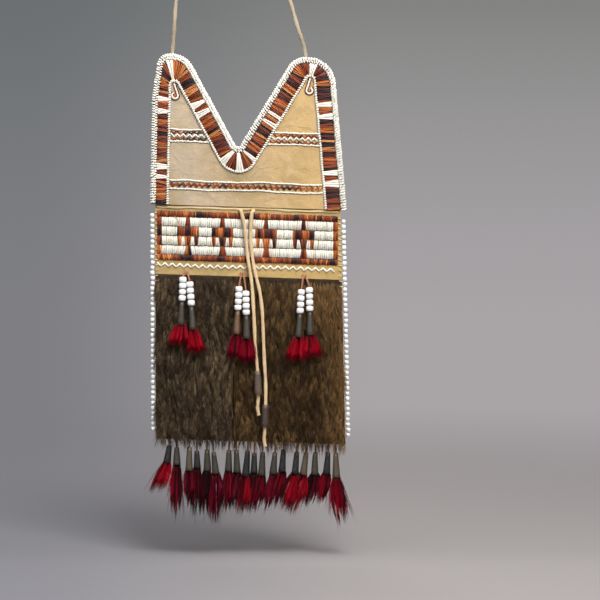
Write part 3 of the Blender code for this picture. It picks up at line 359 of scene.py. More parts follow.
def floor_material():
    """Grey paper with painted light and shade: near the bag it is darker and cooler on the left and a little
    brighter in front, and takes the bag's shadow; further back it glows for the camera and in reflections,
    darker towards the top and the left."""
    look = Look("studio_paper")
    place = look.position()
    x, y, z = (look.part(place, axis) for axis in "XYZ")
    beyond = look.maths("MAXIMUM", look.maths("ADD", y, 2.2), 1.0)
    spread_out = look.maths("DIVIDE", look.maths("SUBTRACT", x, 0.065), beyond)
    across = look.remap(spread_out, -0.115, 0.040)
    # Painted light and shade on the near floor: a little brighter in front of the bag than behind it, and
    # darker and cooler on the left.
    ahead = look.remap(y, -0.06, 0.06, 1.06, 0.97)
    grain = look.ramp(look.noise(place, 900.0, 2.0), [(0.0, 0.94), (1.0, 1.06)])
    near = look.mix((0.158, 0.158, 0.178), (0.242, 0.228, 0.234), across)
    look.set(Base_Color=look.times(look.times(near, ahead), grain), Roughness=0.95, Specular_IOR_Level=0.1)
    # Painted light: further back the paper glows for the camera and in reflections, darker towards the top
    # and the left, in place of the lamps' falloff.
    height = look.maths("DIVIDE", look.maths("ADD", z, 0.6), 0.7)
    left = look.ramp(height, [
        (0.0, (0.212, 0.212, 0.228)),
        (0.25, (0.202, 0.205, 0.219)),
        (0.60, (0.176, 0.184, 0.194)),
        (0.98, (0.147, 0.159, 0.166)),
    ])
    right = look.ramp(height, [
        (0.0, (0.397, 0.370, 0.382)),
        (0.25, (0.366, 0.348, 0.362)),
        (0.60, (0.306, 0.298, 0.301)),
        (0.98, (0.224, 0.228, 0.219)),
    ])
    painted_backdrop_light = look.make("Emission", "Emission", {"Color": look.mix(left, right, across)})
    flat = look.scaled(place, (1.0, 1.0, 0.0))
    away = look.remap(look.make("VectorMath", "Value", {0: flat}, operation="LENGTH"), 0.35, 1.30)
    share = look.maths("MULTIPLY", away, seen_directly(look.tree))
    both = look.make("MixShader", "Shader", {0: share, 1: look.shader.outputs["BSDF"], 2: painted_backdrop_light})
    look.feed(both, look.tree.nodes["Material Output"].inputs["Surface"])
    return look.material


# Centre of the worn, darker place on the hide, in metres with z stretched by half
WORN_SPOT = (0.012, 0.0, -0.385)


def hide_material(name, cool=(0.44, 0.36, 0.275), warm=(0.55, 0.375, 0.175)):
    """Dressed hide: mottled tan, pinker on the left and yellower on the right, napped, with fine creases."""
    look = Look(name)
    place = look.position()
    base = look.mix(cool, warm, look.remap(look.part(place, "X"), -0.06, 0.08))
    oval = look.scaled(place, (1.0, 0.0, 1.5))
    worn = look.make("VectorMath", "Value", {0: oval, 1: WORN_SPOT}, operation="DISTANCE")
    base = look.mix(base, (0.27, 0.21, 0.10), look.remap(worn, 0.0, 0.036, 0.62, 0.0))
    clouds = look.noise(place, 24.0, 5.0, 0.6, 0.8)
    base = look.patch(base, (0.34, 0.25, 0.105), clouds, 0.44, 0.72, 0.75)
    patches = look.noise(place, 60.0, 5.0, 0.65, 1.2)
    base = look.patch(base, (0.64, 0.49, 0.30), patches, 0.5, 0.78, 0.6)
    smudges = look.noise(look.scaled(place, (1.0, 1.0, 0.6)), 130.0, 6.0, 0.7, 1.5)
    base = look.patch(base, (0.25, 0.17, 0.08), smudges, 0.58, 0.82, 0.55)
    specks = look.noise(place, 900.0, 3.0, 0.7)
    base = look.patch(base, (0.28, 0.19, 0.10), specks, 0.56, 0.75, 0.35)
    look.set(Base_Color=base, Roughness=0.9, Specular_IOR_Level=0.15)
    nap = look.bump(look.noise(place, 1500.0, 3.0, 0.7), 0.4, 0.0004)
    creases = look.noise(look.scaled(place, (1.0, 1.0, 1.5)), 34.0, 7.0, 0.62, 1.6)
    look.bump(creases, 0.7, 0.0020, nap)
    return look.material


def quill_material():
    """Flattened quill: its own dyed colour, streaks along it and a waxy gloss."""
    look = Look("quill")
    streaks = look.streaks((3.0, 0.35, 7.0), 1.6, 4.0, 0.65)
    shade = look.ramp(streaks, [(0.25, 0.74), (0.5, 1.0), (0.8, 1.15)])
    gloss = look.ramp(streaks, [(0.2, 0.42), (0.8, 0.6)])
    look.set(Base_Color=look.times(look.attribute("tone"), shade), Roughness=gloss, Specular_IOR_Level=0.3)
    look.bump(streaks, 0.4, 0.0002)
    return look.material


def bead_material(name, colour, gloss):
    """Opaque white glass with faint waviness and a little grime."""
    look = Look(name)
    place = look.position()
    grimy = look.patch(colour, (0.62, 0.55, 0.48), look.noise(place, 420.0, 4.0, 0.6), 0.6, 0.9, 0.35)
    look.set(Base_Color=grimy, Roughness=gloss, Coat_Weight=0.4, Coat_Roughness=0.08)
    look.bump(look.noise(place, 700.0, 2.0), 0.12, 0.0003)
    return look.material


def tin_material():
    """Dull old tin: grey metal under brown tarnish, worn brighter along the rolled edges."""
    look = Look("tin")
    streaks = look.streaks((2.0, 0.5, 5.0), 2.2, 5.0, 0.65)
    spots = look.noise(look.position(), 520.0, 5.0, 0.7)
    base = look.patch(look.attribute("tone"), (0.22, 0.20, 0.165), streaks, 0.5, 0.78, 0.7)
    base = look.patch(base, (0.075, 0.038, 0.02), spots, 0.5, 0.78, 0.75)
    look.set(Base_Color=base, Metallic=0.6, Roughness=look.ramp(spots, [(0.3, 0.36), (0.75, 0.7)]))
    look.bump(streaks, 0.35, 0.0006, look.bump(spots, 0.4, 0.0004))
    return look.material


def hair_material(name, gloss):
    """Hair and fur: colour by strand, darker at the root, partly the hair's own colour and partly painted
    shade deep in the pile and in the cones' mouths.
    """
    look = Look(name)
    depth = look.ramp(look.attribute("along", "Fac"), [(0.0, 0.45), (0.35, 0.85), (0.8, 1.0), (1.0, 1.15)])
    look.set(Base_Color=look.times(look.attribute("tone"), depth), Roughness=gloss, Specular_IOR_Level=0.12)
    return look.material


def skin_material():
    """Dense dark underfur seen between the strands."""
    look = Look("underfur")
    streaks = look.noise(look.scaled(look.position(), (1.0, 1.0, 0.16)), 900.0, 4.0, 0.65)
    tones = look.ramp(streaks, [(0.3, (0.012, 0.008, 0.006)), (0.7, (0.055, 0.036, 0.024))])
    look.set(Base_Color=tones, Roughness=0.95, Specular_IOR_Level=0.1)
    look.bump(streaks, 0.8, 0.001)
    return look.material


# Geometry helpers

def place(x, y, z):
    """World points in metres of places on the bag, which hangs askew and is not quite flat."""
    x, y, z = (np.asarray(v, float) for v in (x, y, z))
    shape = np.broadcast(x, y, z).shape
    x, y, z = (np.broadcast_to(v, shape) for v in (x, y, z))
    return np.stack([x + HANG_OFFSET, y + drape(x, z), z + SEAM_Z - ASKEW * x], -1) * MM


def drape(x, z):
    """How far the hide stands behind its plane: slow waves over the yoke and band."""
    fade = smooth((z + 66.0) / 30.0) * (1 - smooth((z - 92.0) / 24.0))
    slow = 0.50 * np.sin(x / 27.0 + 0.6) * np.cos(z / 36.0 + 0.3)
    quick = 0.18 * np.sin(x / 11.0 - z / 17.0)
    return fade * (slow + quick)


def smooth(t):
    t = np.clip(t, 0.0, 1.0)
    return t * t * (3 - 2 * t)


def unit(v):
    return v / np.maximum(np.linalg.norm(v, axis=-1, keepdims=True), 1e-9)


# Kind and field of each value that a piece's points may keep
POINT_VALUES = {
    "tone": ("FLOAT_COLOR", "color"),
    "grain": ("FLOAT_VECTOR", "vector"),
    "along": ("FLOAT", "value"),
}


def add_piece(name, points, faces, stuff, slot, body="bag", replaces=(), **kept):
    """A mesh piece from points in metres and face index arrays, riding on a CAD body. Its points keep their
    own tone, grain or share of the way along a hair."""
    mesh = bpy.data.meshes.new(name)
    points = np.ascontiguousarray(points.reshape(-1, 3), dtype=np.float32)
    loops = np.concatenate([f.ravel() for f in faces]).astype(np.int32)
    sizes = np.concatenate([np.full(len(f), f.shape[1]) for f in faces])
    starts = np.concatenate([[0], np.cumsum(sizes)[:-1]]).astype(np.int32)
    mesh.vertices.add(len(points))
    mesh.vertices.foreach_set("co", points.ravel())
    mesh.loops.add(len(loops))
    mesh.loops.foreach_set("vertex_index", loops)
    mesh.polygons.add(len(sizes))
    mesh.polygons.foreach_set("loop_start", starts)
    mesh.update(calc_edges=True)
    for key, values in kept.items():
        kind, field = POINT_VALUES[key]
        if key == "tone":
            values = np.column_stack([values, np.ones(len(points))])
        layer = mesh.attributes.new(key, kind, "POINT")
        layer.data.foreach_set(field, np.ascontiguousarray(values, dtype=np.float32).ravel())
    mesh.materials.append(stuff)
    mesh.shade_smooth()
    return dress(name, mesh, body, replaces)


def dress(name, mesh, body, replaces):
    """An object of a mesh that rides on a CAD body and stands for CAD pieces."""
    item = new_object(name, mesh)
    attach(item, body)
    if replaces:
        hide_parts(*replaces)
    return item


def tube_faces(tubes, rows, sides):
    """The sides of tubes whose points lie ring after ring, their starts and their ends."""
    k = np.arange(sides)
    j = (k + 1) % sides
    base = (np.arange(tubes)[:, None, None] * rows + np.arange(rows - 1)[:, None]) * sides
    quads = np.stack([base + k, base + j, base + sides + j, base + sides + k], -1).reshape(-1, 4)
    first = np.arange(tubes)[:, None] * rows * sides + k
    return quads, first[:, ::-1], first + (rows - 1) * sides


def sweep(paths, across, wide, thick, sides, pointed=False):
    """Many tubes with oval sections. paths are (n, s, 3) in metres. across runs along the sections' width,
    and wide and thick are their half sizes in mm. Returns the points, the faces and each point's turn."""
    n, s, _ = paths.shape
    tangent = unit(np.gradient(paths, axis=1))
    up = unit(np.cross(tangent, across))
    across = unit(np.cross(up, tangent))
    turns = 2 * pi * np.arange(sides) / sides
    wide, thick = (np.broadcast_to(half, (n, s))[:, :, None, None] * MM for half in (wide, thick))
    rings = (paths[:, :, None] + across[:, :, None] * wide * np.cos(turns)[:, None]
             + up[:, :, None] * thick * np.sin(turns)[:, None])
    if not pointed:
        return rings.reshape(-1, 3), tube_faces(n, s, sides), np.tile(np.cos(turns), n * s)
    rows = s - 1
    quads, starts, last = tube_faces(n, rows, sides)
    tip = n * rows * sides + np.arange(n)[:, None] + 0 * last
    tips = np.stack([last, np.roll(last, -1, 1), tip], -1).reshape(-1, 3)
    points = np.concatenate([rings[:, :-1].reshape(-1, 3), paths[:, -1]])
    return points, [starts, quads, tips], np.concatenate([np.tile(np.cos(turns), n * rows), np.zeros(n)])


def spread(values, s, sides, pointed=False):
    """Values per tube, or per tube and section, repeated for every point that sweep() makes."""
    values = np.asarray(values, float)
    n = len(values)
    if values.ndim == 1 or (values.ndim == 2 and values.shape[1] == 3):
        values = np.broadcast_to(values[:, None, ...], (n, s) + values.shape[1:])
    if pointed:
        body = np.repeat(values[:, :-1].reshape((n * (s - 1),) + values.shape[2:]), sides, 0)
        return np.concatenate([body, values[:, -1]])
    return np.repeat(values.reshape((n * s,) + values.shape[2:]), sides, 0)


QUILL_SHARE = np.array([0.0, 0.08, 0.5, 0.92, 1.0])
QUILL_RISE = np.array([0.15, 0.85, 1.0, 0.85, 0.15])
QUILL_SPREAD = np.array([0.72, 1.0, 1.0, 1.0, 0.72])
QUILL_SIDES = 6


def beside(way):
    """Plan directions turned a quarter to the right."""
    return np.stack([way[:, 1], -way[:, 0]], -1)


def at_plan(plan, y):
    """World points of plan points (x, z) at a depth y."""
    return place(plan[..., 0], y, plan[..., 1])


def grained(turn, along, shift, s, sides):
    """Where each point lies round, along and beside its tube, for the streaks in its look."""
    along = np.broadcast_to(along, (len(shift), s))
    return np.stack([turn, spread(along, s, sides), spread(shift, s, sides)], -1)


def quills(rng, starts, ends, half_start, half_end, back, height, tones, bow=0.12, arch=0.0):
    """Flattened quills lying in the bag's plane between plan points, their ends tucked into the hide. Each
    bows sideways by a chance amount about its arch."""
    starts, ends = np.asarray(starts, float), np.asarray(ends, float)
    n = len(starts)
    t = QUILL_SHARE
    along = ends - starts
    side = unit(beside(along))
    bowed = (rng.normal(0.0, bow, n) + arch)[:, None] * np.sin(pi * t)
    plan = starts[:, None, :] + along[:, None, :] * t[None, :, None] + side[:, None, :] * bowed[:, :, None]
    half_start, half_end, back, height = (
        np.broadcast_to(value, (n,))[:, None] for value in (half_start, half_end, back, height))
    thick = height / 2 * QUILL_RISE
    depth = back - height / 2 * (QUILL_RISE * 1.1 - 0.1)
    wide = (half_start * (1 - t) + half_end * t) * QUILL_SPREAD
    tilt = rng.normal(0.0, 0.12, n)
    across = np.stack([side[:, 0], tilt, side[:, 1]], -1)[:, None]
    points, faces, turn = sweep(at_plan(plan, depth), across, wide, thick, QUILL_SIDES)
    length = np.linalg.norm(along, axis=1)
    grain = grained(turn, t * length[:, None], rng.uniform(0, 50, n), len(t), QUILL_SIDES)
    tones = np.broadcast_to(tones, (n, 3))
    return points, faces, spread(tones, len(t), QUILL_SIDES), grain


class Bundle:
    """Meshes gathered into one piece."""

    def __init__(self):
        self.points, self.faces, self.values, self.count = [], [], {}, 0

    def add(self, points, faces, tone, grain):
        self.points.append(points)
        self.faces.extend(f + self.count for f in faces)
        for key, value in (("tone", tone), ("grain", grain)):
            self.values.setdefault(key, []).append(value)
        self.count += len(points)

    def bead(self, base, quads, axis, centre):
        """Adds a bead turned to its axis at a point in metres."""
        points = turned_to(base, axis, centre)
        self.add(points, [quads], np.full(points.shape, 0.85), np.zeros(points.shape))

    def piece(self, name, stuff, **how):
        values = {key: np.concatenate(parts) for key, parts in self.values.items()}
        return add_piece(name, np.concatenate(self.points), self.faces, stuff, **how, **values)


# Yoke outline, the same construction as in the CAD source

def meet(p, d, q, e):
    """Where two lines cross, each given by a point and a direction."""
    cross = d.x * e.y - d.y * e.x
    t = ((q.x - p.x) * e.y - (q.y - p.y) * e.x) / cross
    return p + d * t


def inward(a, b, inset):
    """The line from a to b moved to its right, as a point and a direction."""
    d = (b - a).normalized()
    return a + Vector((d.y, -d.x)) * inset, d


def rounded(before, corner, after, radius):
    """Points of the arc that rounds one corner, an odd number of them."""
    to_before = (before - corner).normalized()
    to_after = (after - corner).normalized()
    half = to_before.angle(to_after) / 2
    reach = radius / tan(half)
    centre = corner + (to_before + to_after).normalized() * (radius / sin(half))
    first = corner + to_before * reach - centre
    last = corner + to_after * reach - centre
    turn = pi - 2 * half
    side = 1.0 if first.x * last.y - first.y * last.x > 0 else -1.0
    count = 2 * max(int(np.ceil(turn / radians(2 * ARC_STEP))), 1)
    arc = []
    for k in range(count + 1):
        angle = side * turn * k / count
        arc.append(centre + Vector((first.x * cos(angle) - first.y * sin(angle),
                                    first.x * sin(angle) + first.y * cos(angle))))
    return arc


def rounded_chain(chain, radii):
    """Arcs for the corners between a chain's ends. Where two would meet on a leg, both are drawn in."""
    halves = [(a - b).angle(c - b) / 2 for a, b, c in zip(chain, chain[1:], chain[2:])]
    reaches = [max(radius, LEAST_ROUND) / tan(half) for radius, half in zip(radii, halves)]
    ends = [0.0, *reaches, 0.0]
    room = [FREE_SHARE * (b - a).length / (before + after)
            for a, b, before, after in zip(chain, chain[1:], ends, ends[1:])]
    arcs = []
    for i, (half, reach) in enumerate(zip(halves, reaches)):
        fitted = reach * min(1.0, room[i], room[i + 1])
        arcs.append(rounded(*chain[i:i + 3], fitted * tan(half)))
    return arcs


def rim_runs(left, rest):
    """The rim's straight runs from the left side to the right, moved inward."""
    corners = [
        Vector((-YOKE_LEFT, 0)),
        Vector((-LEFT_SHOULDER, LEFT_SHOULDER_RISE)),
        Vector((-LEFT_PEAK_OUTER, LEFT_PEAK_RISE)),
        Vector((-LEFT_PEAK_INNER, LEFT_PEAK_RISE)),
        Vector((NOTCH_X, NOTCH_RISE)),
        Vector((RIGHT_PEAK_INNER, PEAK_RISE)),
        Vector((RIGHT_PEAK_OUTER, PEAK_RISE)),
        Vector((YOKE_RIGHT, 0)),
    ]
    insets = [left, left, rest, rest, rest, rest, rest]
    return [inward(a, b, inset) for a, b, inset in zip(corners, corners[1:], insets)]


def halved(arc):
    middle = len(arc) // 2
    return arc[:middle + 1], arc[middle:]


def yoke_line(inset, inner=False):
    """The rim at one even inset, its left side narrowed in step with the border, as four legs: up the left
    side, down the left flank of the notch, up its right flank and down the right side. The lines along the
    border's inner edge come to one bend in each tab instead of the peak's own bends."""
    beyond = max(inset - EDGING_WIDTH, 0.0)
    left = inset - min(beyond, BORDER_WIDTH) * (1 - BORDER_LEFT / BORDER_WIDTH)
    side, shoulder, left_top, left_flank, right_flank, right_top, right_side = rim_runs(left, inset)
    seam = (Vector((0, 0)), Vector((1, 0)))
    start = meet(*side, *seam)
    end = meet(*right_side, *seam)
    notch = meet(*left_flank, *right_flank)
    if inner:
        tab_round = INNER_PEAK_ROUND - (inset - BORDER_INNER + INNER_LINE)
        bends = [
            (meet(*side, *left_flank), tab_round),
            (notch, INNER_NOTCH_ROUND + inset - BORDER_INNER),
            (meet(*right_flank, *right_side), tab_round),
        ]
    else:
        bends = [
            (meet(*side, *shoulder), SHOULDER_ROUND - inset),
            (meet(*shoulder, *left_top), LEFT_PEAK_OUTER_ROUND - inset),
            (meet(*left_top, *left_flank), LEFT_PEAK_INNER_ROUND - inset),
            (notch, NOTCH_ROUND + inset),
            (meet(*right_flank, *right_top), RIGHT_PEAK_INNER_ROUND - inset),
            (meet(*right_top, *right_side), RIGHT_PEAK_OUTER_ROUND - inset),
        ]
    chain = [start, *[corner for corner, _ in bends], end]
    arcs = rounded_chain(chain, [radius for _, radius in bends])
    if inner:
        left_peak, notch_arc, right_peak = (halved(arc) for arc in arcs)
    else:
        left_top_middle = (arcs[1][-1] + arcs[2][0]) / 2
        right_top_middle = (arcs[4][-1] + arcs[5][0]) / 2
        left_peak = ([*arcs[0], *arcs[1], left_top_middle], [left_top_middle, *arcs[2]])
        notch_arc = halved(arcs[3])
        right_peak = ([*arcs[4], right_top_middle], [right_top_middle, *arcs[5]])
    legs = [
        [start, *left_peak[0]],
        [*left_peak[1], *notch_arc[0]],
        [*notch_arc[1], *right_peak[0]],
        [*right_peak[1], end],
    ]
    return [np.array(leg) for leg in legs]


def joined(legs):
    return np.concatenate([legs[0], *[leg[1:] for leg in legs[1:]]])


def nearest(line, points):
    """The point of a line nearest to each of some points."""
    start, run = line[:-1], np.diff(line, axis=0)
    offset = points[:, None] - start
    share = np.clip((offset * run).sum(-1) / np.maximum((run * run).sum(-1), 1e-9), 0, 1)
    feet = start + run * share[..., None]
    best = np.linalg.norm(feet - points[:, None], axis=-1).argmin(1)
    return feet[np.arange(len(points)), best]


def line_length(line):
    return float(np.linalg.norm(np.diff(line, axis=0), axis=1).sum())


def at_share(line, shares):
    """Points of a line at shares of its length."""
    steps = np.linalg.norm(np.diff(line, axis=0), axis=1)
    passed = np.concatenate([[0.0], np.cumsum(steps)])
    at = np.clip(shares, 0.0, 1.0) * passed[-1]
    return np.stack([np.interp(at, passed, line[:, i]) for i in range(line.shape[1])], -1)


def yoke_x(z, inset, leg):
    """x of the rim's leg at a height, at an inset."""
    line = yoke_line(inset, inner=True)[leg]
    order = np.argsort(line[:, 1])
    return float(np.interp(z, line[order, 1], line[order, 0]))


def smooth_line(points, per_leg):
    """A smooth curve through route points, so many steps for each leg."""
    points = np.asarray(points, float)
    padded = np.concatenate([points[:1], points, points[-1:]])
    out = []
    for i in range(len(points) - 1):
        before, a, b, after = padded[i:i + 4]
        for k in range(per_leg):
            t = k / per_leg
            out.append(0.5 * (2 * a + (b - before) * t + (2 * before - 5 * a + 4 * b - after) * t * t
                              + (3 * a - before - 3 * b + after) * t ** 3))
    out.append(points[-1])
    return np.array(out)


# Cords: the CAD's route points, in mm as (x, y, z) of the bag's own plan

STRAP_ROUTE = (
    (-69.0, 3.8, 116.0), (-69.0, 4.9, 127.0), (-68.8, 4.9, 137.0),
    (-67.8, 3.0, 148.0), (-66.6, 0.0, 162.0), (-65.6, 0.0, 176.0),
    (-63.0, 0.0, 206.0), (-58.5, 0.0, 230.0), (-50.0, 0.0, 254.0),
    (-37.0, 0.0, 272.5), (-19.4, 0.0, 279.6), (-2.0, 0.0, 273.0),
    (10.5, 0.0, 256.0), (19.5, 0.0, 234.0), (28.0, 0.0, 209.0),
    (37.2, 0.0, 182.6), (41.0, 0.0, 170.0), (45.0, 0.0, 157.0),
    (48.4, 3.0, 147.0), (50.6, 4.9, 137.0), (52.6, 4.9, 127.0),
    (54.0, 3.8, 116.0),
)

TIE_LEFT_ROUTE = (
    (-8.2, -0.6, -3.0), (-8.2, -3.0, -3.0), (-7.6, -5.2, -3.6),
    (-6.6, -5.9, -6.6), (-4.4, -5.6, -17.0), (-2.4, -5.6, -36.0),
    (-0.6, -5.6, -50.0), (2.0, -6.4, -67.0), (3.4, -7.6, -84.0),
    (4.4, -8.4, -104.0), (5.3, -8.8, -126.0), (7.1, -9.2, -144.0),
    (7.65, -9.2, -157.0), (8.1, -9.2, -170.0), (7.6, -9.0, -176.0),
    (7.4, -8.8, -181.0), (8.4, -8.8, -187.0),
)

TIE_RIGHT_ROUTE = (
    (4.0, -0.6, -3.2), (4.0, -3.0, -3.2), (3.3, -5.2, -3.8),
    (2.2, -5.9, -7.0), (1.2, -5.6, -26.0), (3.0, -5.6, -46.0),
    (6.6, -6.2, -64.0), (9.4, -7.4, -76.0), (11.4, -8.0, -92.0),
    (12.4, -8.4, -112.0), (13.4, -8.8, -136.0), (14.6, -9.1, -158.0),
    (14.6, -9.3, -174.0), (14.25, -9.35, -187.0), (13.8, -9.4, -199.0),
    (13.5, -9.3, -204.0), (13.2, -9.0, -209.0), (14.2, -9.0, -215.0),
)


def thong_cord(node, route, width, stuff, seed, turns):
    """A cut hide thong: flat, a little uneven in width and slowly turning over."""
    rng = np.random.default_rng(seed)
    plan = smooth_line(route, 6)
    centre = place(plan[:, 0], plan[:, 1], plan[:, 2])[None]
    s = len(plan)
    t = np.linspace(0, 1, s)
    tangent = unit(np.gradient(centre, axis=1))
    twist = 0.35 * np.sin(2 * pi * turns * t + seed) + 0.2 * np.sin(2 * pi * turns * 2.7 * t)
    level = unit(np.cross(tangent, (0.0, -1.0, 0.0)))
    forward = unit(np.cross(level, tangent))
    across = level * np.cos(twist)[None, :, None] + forward * np.sin(twist)[None, :, None]
    uneven = 1 + 0.07 * np.sin(t * s * 0.9 + seed) + rng.normal(0, 0.025, s)
    wide = width / 2 * np.clip(uneven, 0.85, 1.08)
    thick = width / 2 * np.clip(0.66 + 0.08 * np.sin(t * s * 0.37), 0.5, 0.8)
    sides = 10
    points, faces, turn = sweep(centre, across, wide[None], thick[None], sides)
    grain = np.stack([turn, np.repeat(t * line_length(plan), sides), np.zeros(s * sides)], -1)
    cord = add_piece(node + "_thong", points, faces, stuff, replaces=[node], slot="thong", grain=grain)


def thong_material(name, dark, mid, pale):
    """Cut hide thong: suede with worn patches and fine fuzz."""
    look = Look(name)
    place = look.position()
    fibres = look.streaks((2.0, 0.5, 1.0), 1.5, 5.0, 0.7)
    base = look.ramp(fibres, [(0.25, dark), (0.5, mid), (0.8, pale)])
    base = look.patch(base, (0.42, 0.28, 0.17), look.noise(place, 130.0, 4.0, 0.6), 0.5, 0.8, 0.55)
    look.set(Base_Color=base, Roughness=0.88, Specular_IOR_Level=0.15)
    look.bump(look.noise(place, 2200.0, 2.0), 0.3, 0.0003, look.bump(fibres, 0.6, 0.0006))
    return look.material


# Hide

def pouch_left(z):
    return -POUCH_LEFT + 0 * z


def pouch_right(z):
    return POUCH_RIGHT_TOP + POUCH_FLARE * np.minimum(-z, POUCH_DEPTH) / POUCH_DEPTH


def pocket_depth(x, z):
    """How far the back stands behind the plane of the front wall."""
    over_side = (np.minimum(x + POUCH_LEFT, pouch_right(z) - x) - SEAM_ALLOWANCE) / POCKET_SHOULDER
    over_bottom = (z + POUCH_DEPTH) / POCKET_SHOULDER
    slope_top = NOTCH_RISE - POCKET_BELOW_NOTCH
    below_yoke = (slope_top - z) / (slope_top - MOUTH_TUCK)
    return POCKET_DEPTH * smooth(over_side) * smooth(over_bottom) * smooth(below_yoke)


HIDE_CELL = 5.0


def hide_plate(name, outline, depth_at, stuff, replaces):
    """A piece of hide from its cut outline: cut into small cells, given its thickness, edges rounded."""
    bm = bmesh.new()
    bm.faces.new([bm.verts.new((x, 0, z)) for x, z in outline])
    low = np.min(outline, axis=0)
    high = np.max(outline, axis=0)
    for axis, normal in ((0, (1, 0, 0)), (1, (0, 0, 1))):
        for at in np.arange(low[axis] + HIDE_CELL, high[axis], HIDE_CELL):
            corner = (at, 0, 0) if axis == 0 else (0, 0, at)
            bmesh.ops.bisect_plane(bm, geom=[*bm.verts, *bm.edges, *bm.faces], dist=0.0001,
                                   plane_co=corner, plane_no=normal)
    if sum(f.normal.y for f in bm.faces) > 0:
        bmesh.ops.reverse_faces(bm, faces=bm.faces)
    front = list(bm.faces)
    copied = bmesh.ops.duplicate(bm, geom=front)
    twin = {v: copied["vert_map"][v] for v in {v for f in front for v in f.verts}}
    rim = [e for e in bm.edges if len(e.link_faces) == 1 and e.link_faces[0] in set(front)]
    for f in [g for g in copied["geom"] if isinstance(g, bmesh.types.BMFace)]:
        f.normal_flip()
    for vertex, other in twin.items():
        other.co.y = HIDE
    walls = []
    for edge in rim:
        loop = edge.link_loops[0]
        a, b = loop.vert, loop.link_loop_next.vert
        walls.append(bm.faces.new((b, a, twin[a], twin[b])))
    edges = {e for w in walls for e in w.edges if any(f not in walls for f in e.link_faces)}
    bmesh.ops.bevel(bm, geom=list(edges), offset=0.35, segments=2, profile=0.6, affect="EDGES",
                    clamp_overlap=True)
    co = np.array([v.co for v in bm.verts])
    x, y, z = co[:, 0], co[:, 1], co[:, 2]
    y = y + depth_at(x, z)
    for vertex, at in zip(bm.verts, place(x, y, z)):
        vertex.co = at
    bmesh.ops.recalc_face_normals(bm, faces=bm.faces)
    mesh = bpy.data.meshes.new(name)
    bm.to_mesh(mesh)
    bm.free()
    mesh.materials.append(stuff)
    mesh.shade_smooth()
    return dress(name, mesh, "bag", replaces)


def mouth_fold(stuff):
    """The pouch mouth's edge, turned over and sewn down: a flat, slightly wandering roll."""
    x = np.linspace(-POUCH_LEFT + 1.5, POUCH_RIGHT_TOP - 1.5, 90)
    z = -1.9 + 0.35 * np.sin(x / 9.0) + 0.3 * np.sin(x / 23.0 + 1.0) + 0.15 * np.sin(x / 3.1)
    path = place(x, BAND_FRONT - 0.35, z)[None]
    wide = 1.05 + 0.15 * np.sin(x / 5.3 + 2.0)
    points, faces, _ = sweep(path, (0.0, 0.12, 1.0), wide, 0.5, 10)
    add_piece("mouth_fold", points, faces, stuff, slot="hide")


def hide_panels():
    stuff = hide_material("hide")
    rim = joined(yoke_line(EDGING_WEB + GAP))
    keep = [0] + [i for i in range(1, len(rim)) if np.linalg.norm(rim[i] - rim[i - 1]) > 0.05]
    rim = rim[keep]
    hide_plate("yoke_hide", [tuple(p) for p in rim], lambda x, z: YOKE_FRONT, stuff, ["yoke_panel"])
    band = [
        (-POUCH_LEFT, MOUTH_TUCK),
        (float(pouch_right(0)), MOUTH_TUCK),
        (float(pouch_right(-BAND_HEM)), -BAND_HEM),
        (-POUCH_LEFT, -BAND_HEM),
    ]
    band_stuff = hide_material("band_hide", (0.44, 0.31, 0.13), (0.51, 0.35, 0.135))
    hide_plate("band_hide", band, lambda x, z: BAND_FRONT, band_stuff, ["band_panel"])
    # The fold's hide is paler: partly the turned edge's own colour, partly a painted highlight along the
    # mouth's edge.
    mouth_fold(hide_material("mouth_fold", (0.70, 0.54, 0.33), (0.76, 0.57, 0.32)))
    back = [tuple(p) for p in rim] + [
        (float(pouch_right(0)), -GAP),
        (float(pouch_right(-POUCH_DEPTH)), -POUCH_DEPTH),
        (-POUCH_LEFT, -POUCH_DEPTH),
        (-POUCH_LEFT, -GAP),
    ]
    hide_plate("back_hide", back, lambda x, z: BACK_FRONT + pocket_depth(x, z), stuff, ["back_panel"])


# Quillwork

WHITE = (0.79, 0.77, 0.70)
CREAM = (0.66, 0.61, 0.48)
DYES = {
    "o": (0.46, 0.130, 0.028),
    "l": (0.55, 0.225, 0.075),
    "r": (0.235, 0.048, 0.016),
    "b": (0.135, 0.032, 0.013),
    "p": (0.078, 0.016, 0.016),
    "k": (0.018, 0.009, 0.010),
}


def dyed(rng, letters, mixing=0.25):
    """A colour for each letter, with some quills taken from a neighbour's dye and each a little its own."""
    letters = list(letters)
    picked = []
    for i, letter in enumerate(letters):
        if rng.random() < mixing:
            letter = letters[int(np.clip(i + rng.integers(-3, 4), 0, len(letters) - 1))]
        if rng.random() < mixing * 0.4:
            letter = "rbol"[rng.integers(0, 4)]
        picked.append(DYES[letter])
    tones = np.array(picked)
    return np.clip(tones * rng.uniform(0.75, 1.25, (len(tones), 1)), 0, 1)


def whites(rng, n, tone=WHITE):
    """A white for each of n quills, no two quite alike."""
    return np.array(tone) * rng.uniform(0.88, 1.06, (n, 1)) * rng.uniform(0.985, 1.015, (n, 3))


# One letter for each strip along each leg of the border
BORDER_DYES = (
    "kpoolrorpoprrrrrrrlobprrlorbrkkrproopbprrrroorrrprooolppkprr",
    "oooollrrrkkplllrrorrrkrrrroborrklorrpbprbrbrrrb",
    "bborrrkporokroblkprkorrrlrrrropoorpbrklrokpprrkoorrr",
    "rrrrbprpkookpkprkrrroorrrpkrrookpkrkklokprokrrorrrrorrrpkpkrrpro",
)

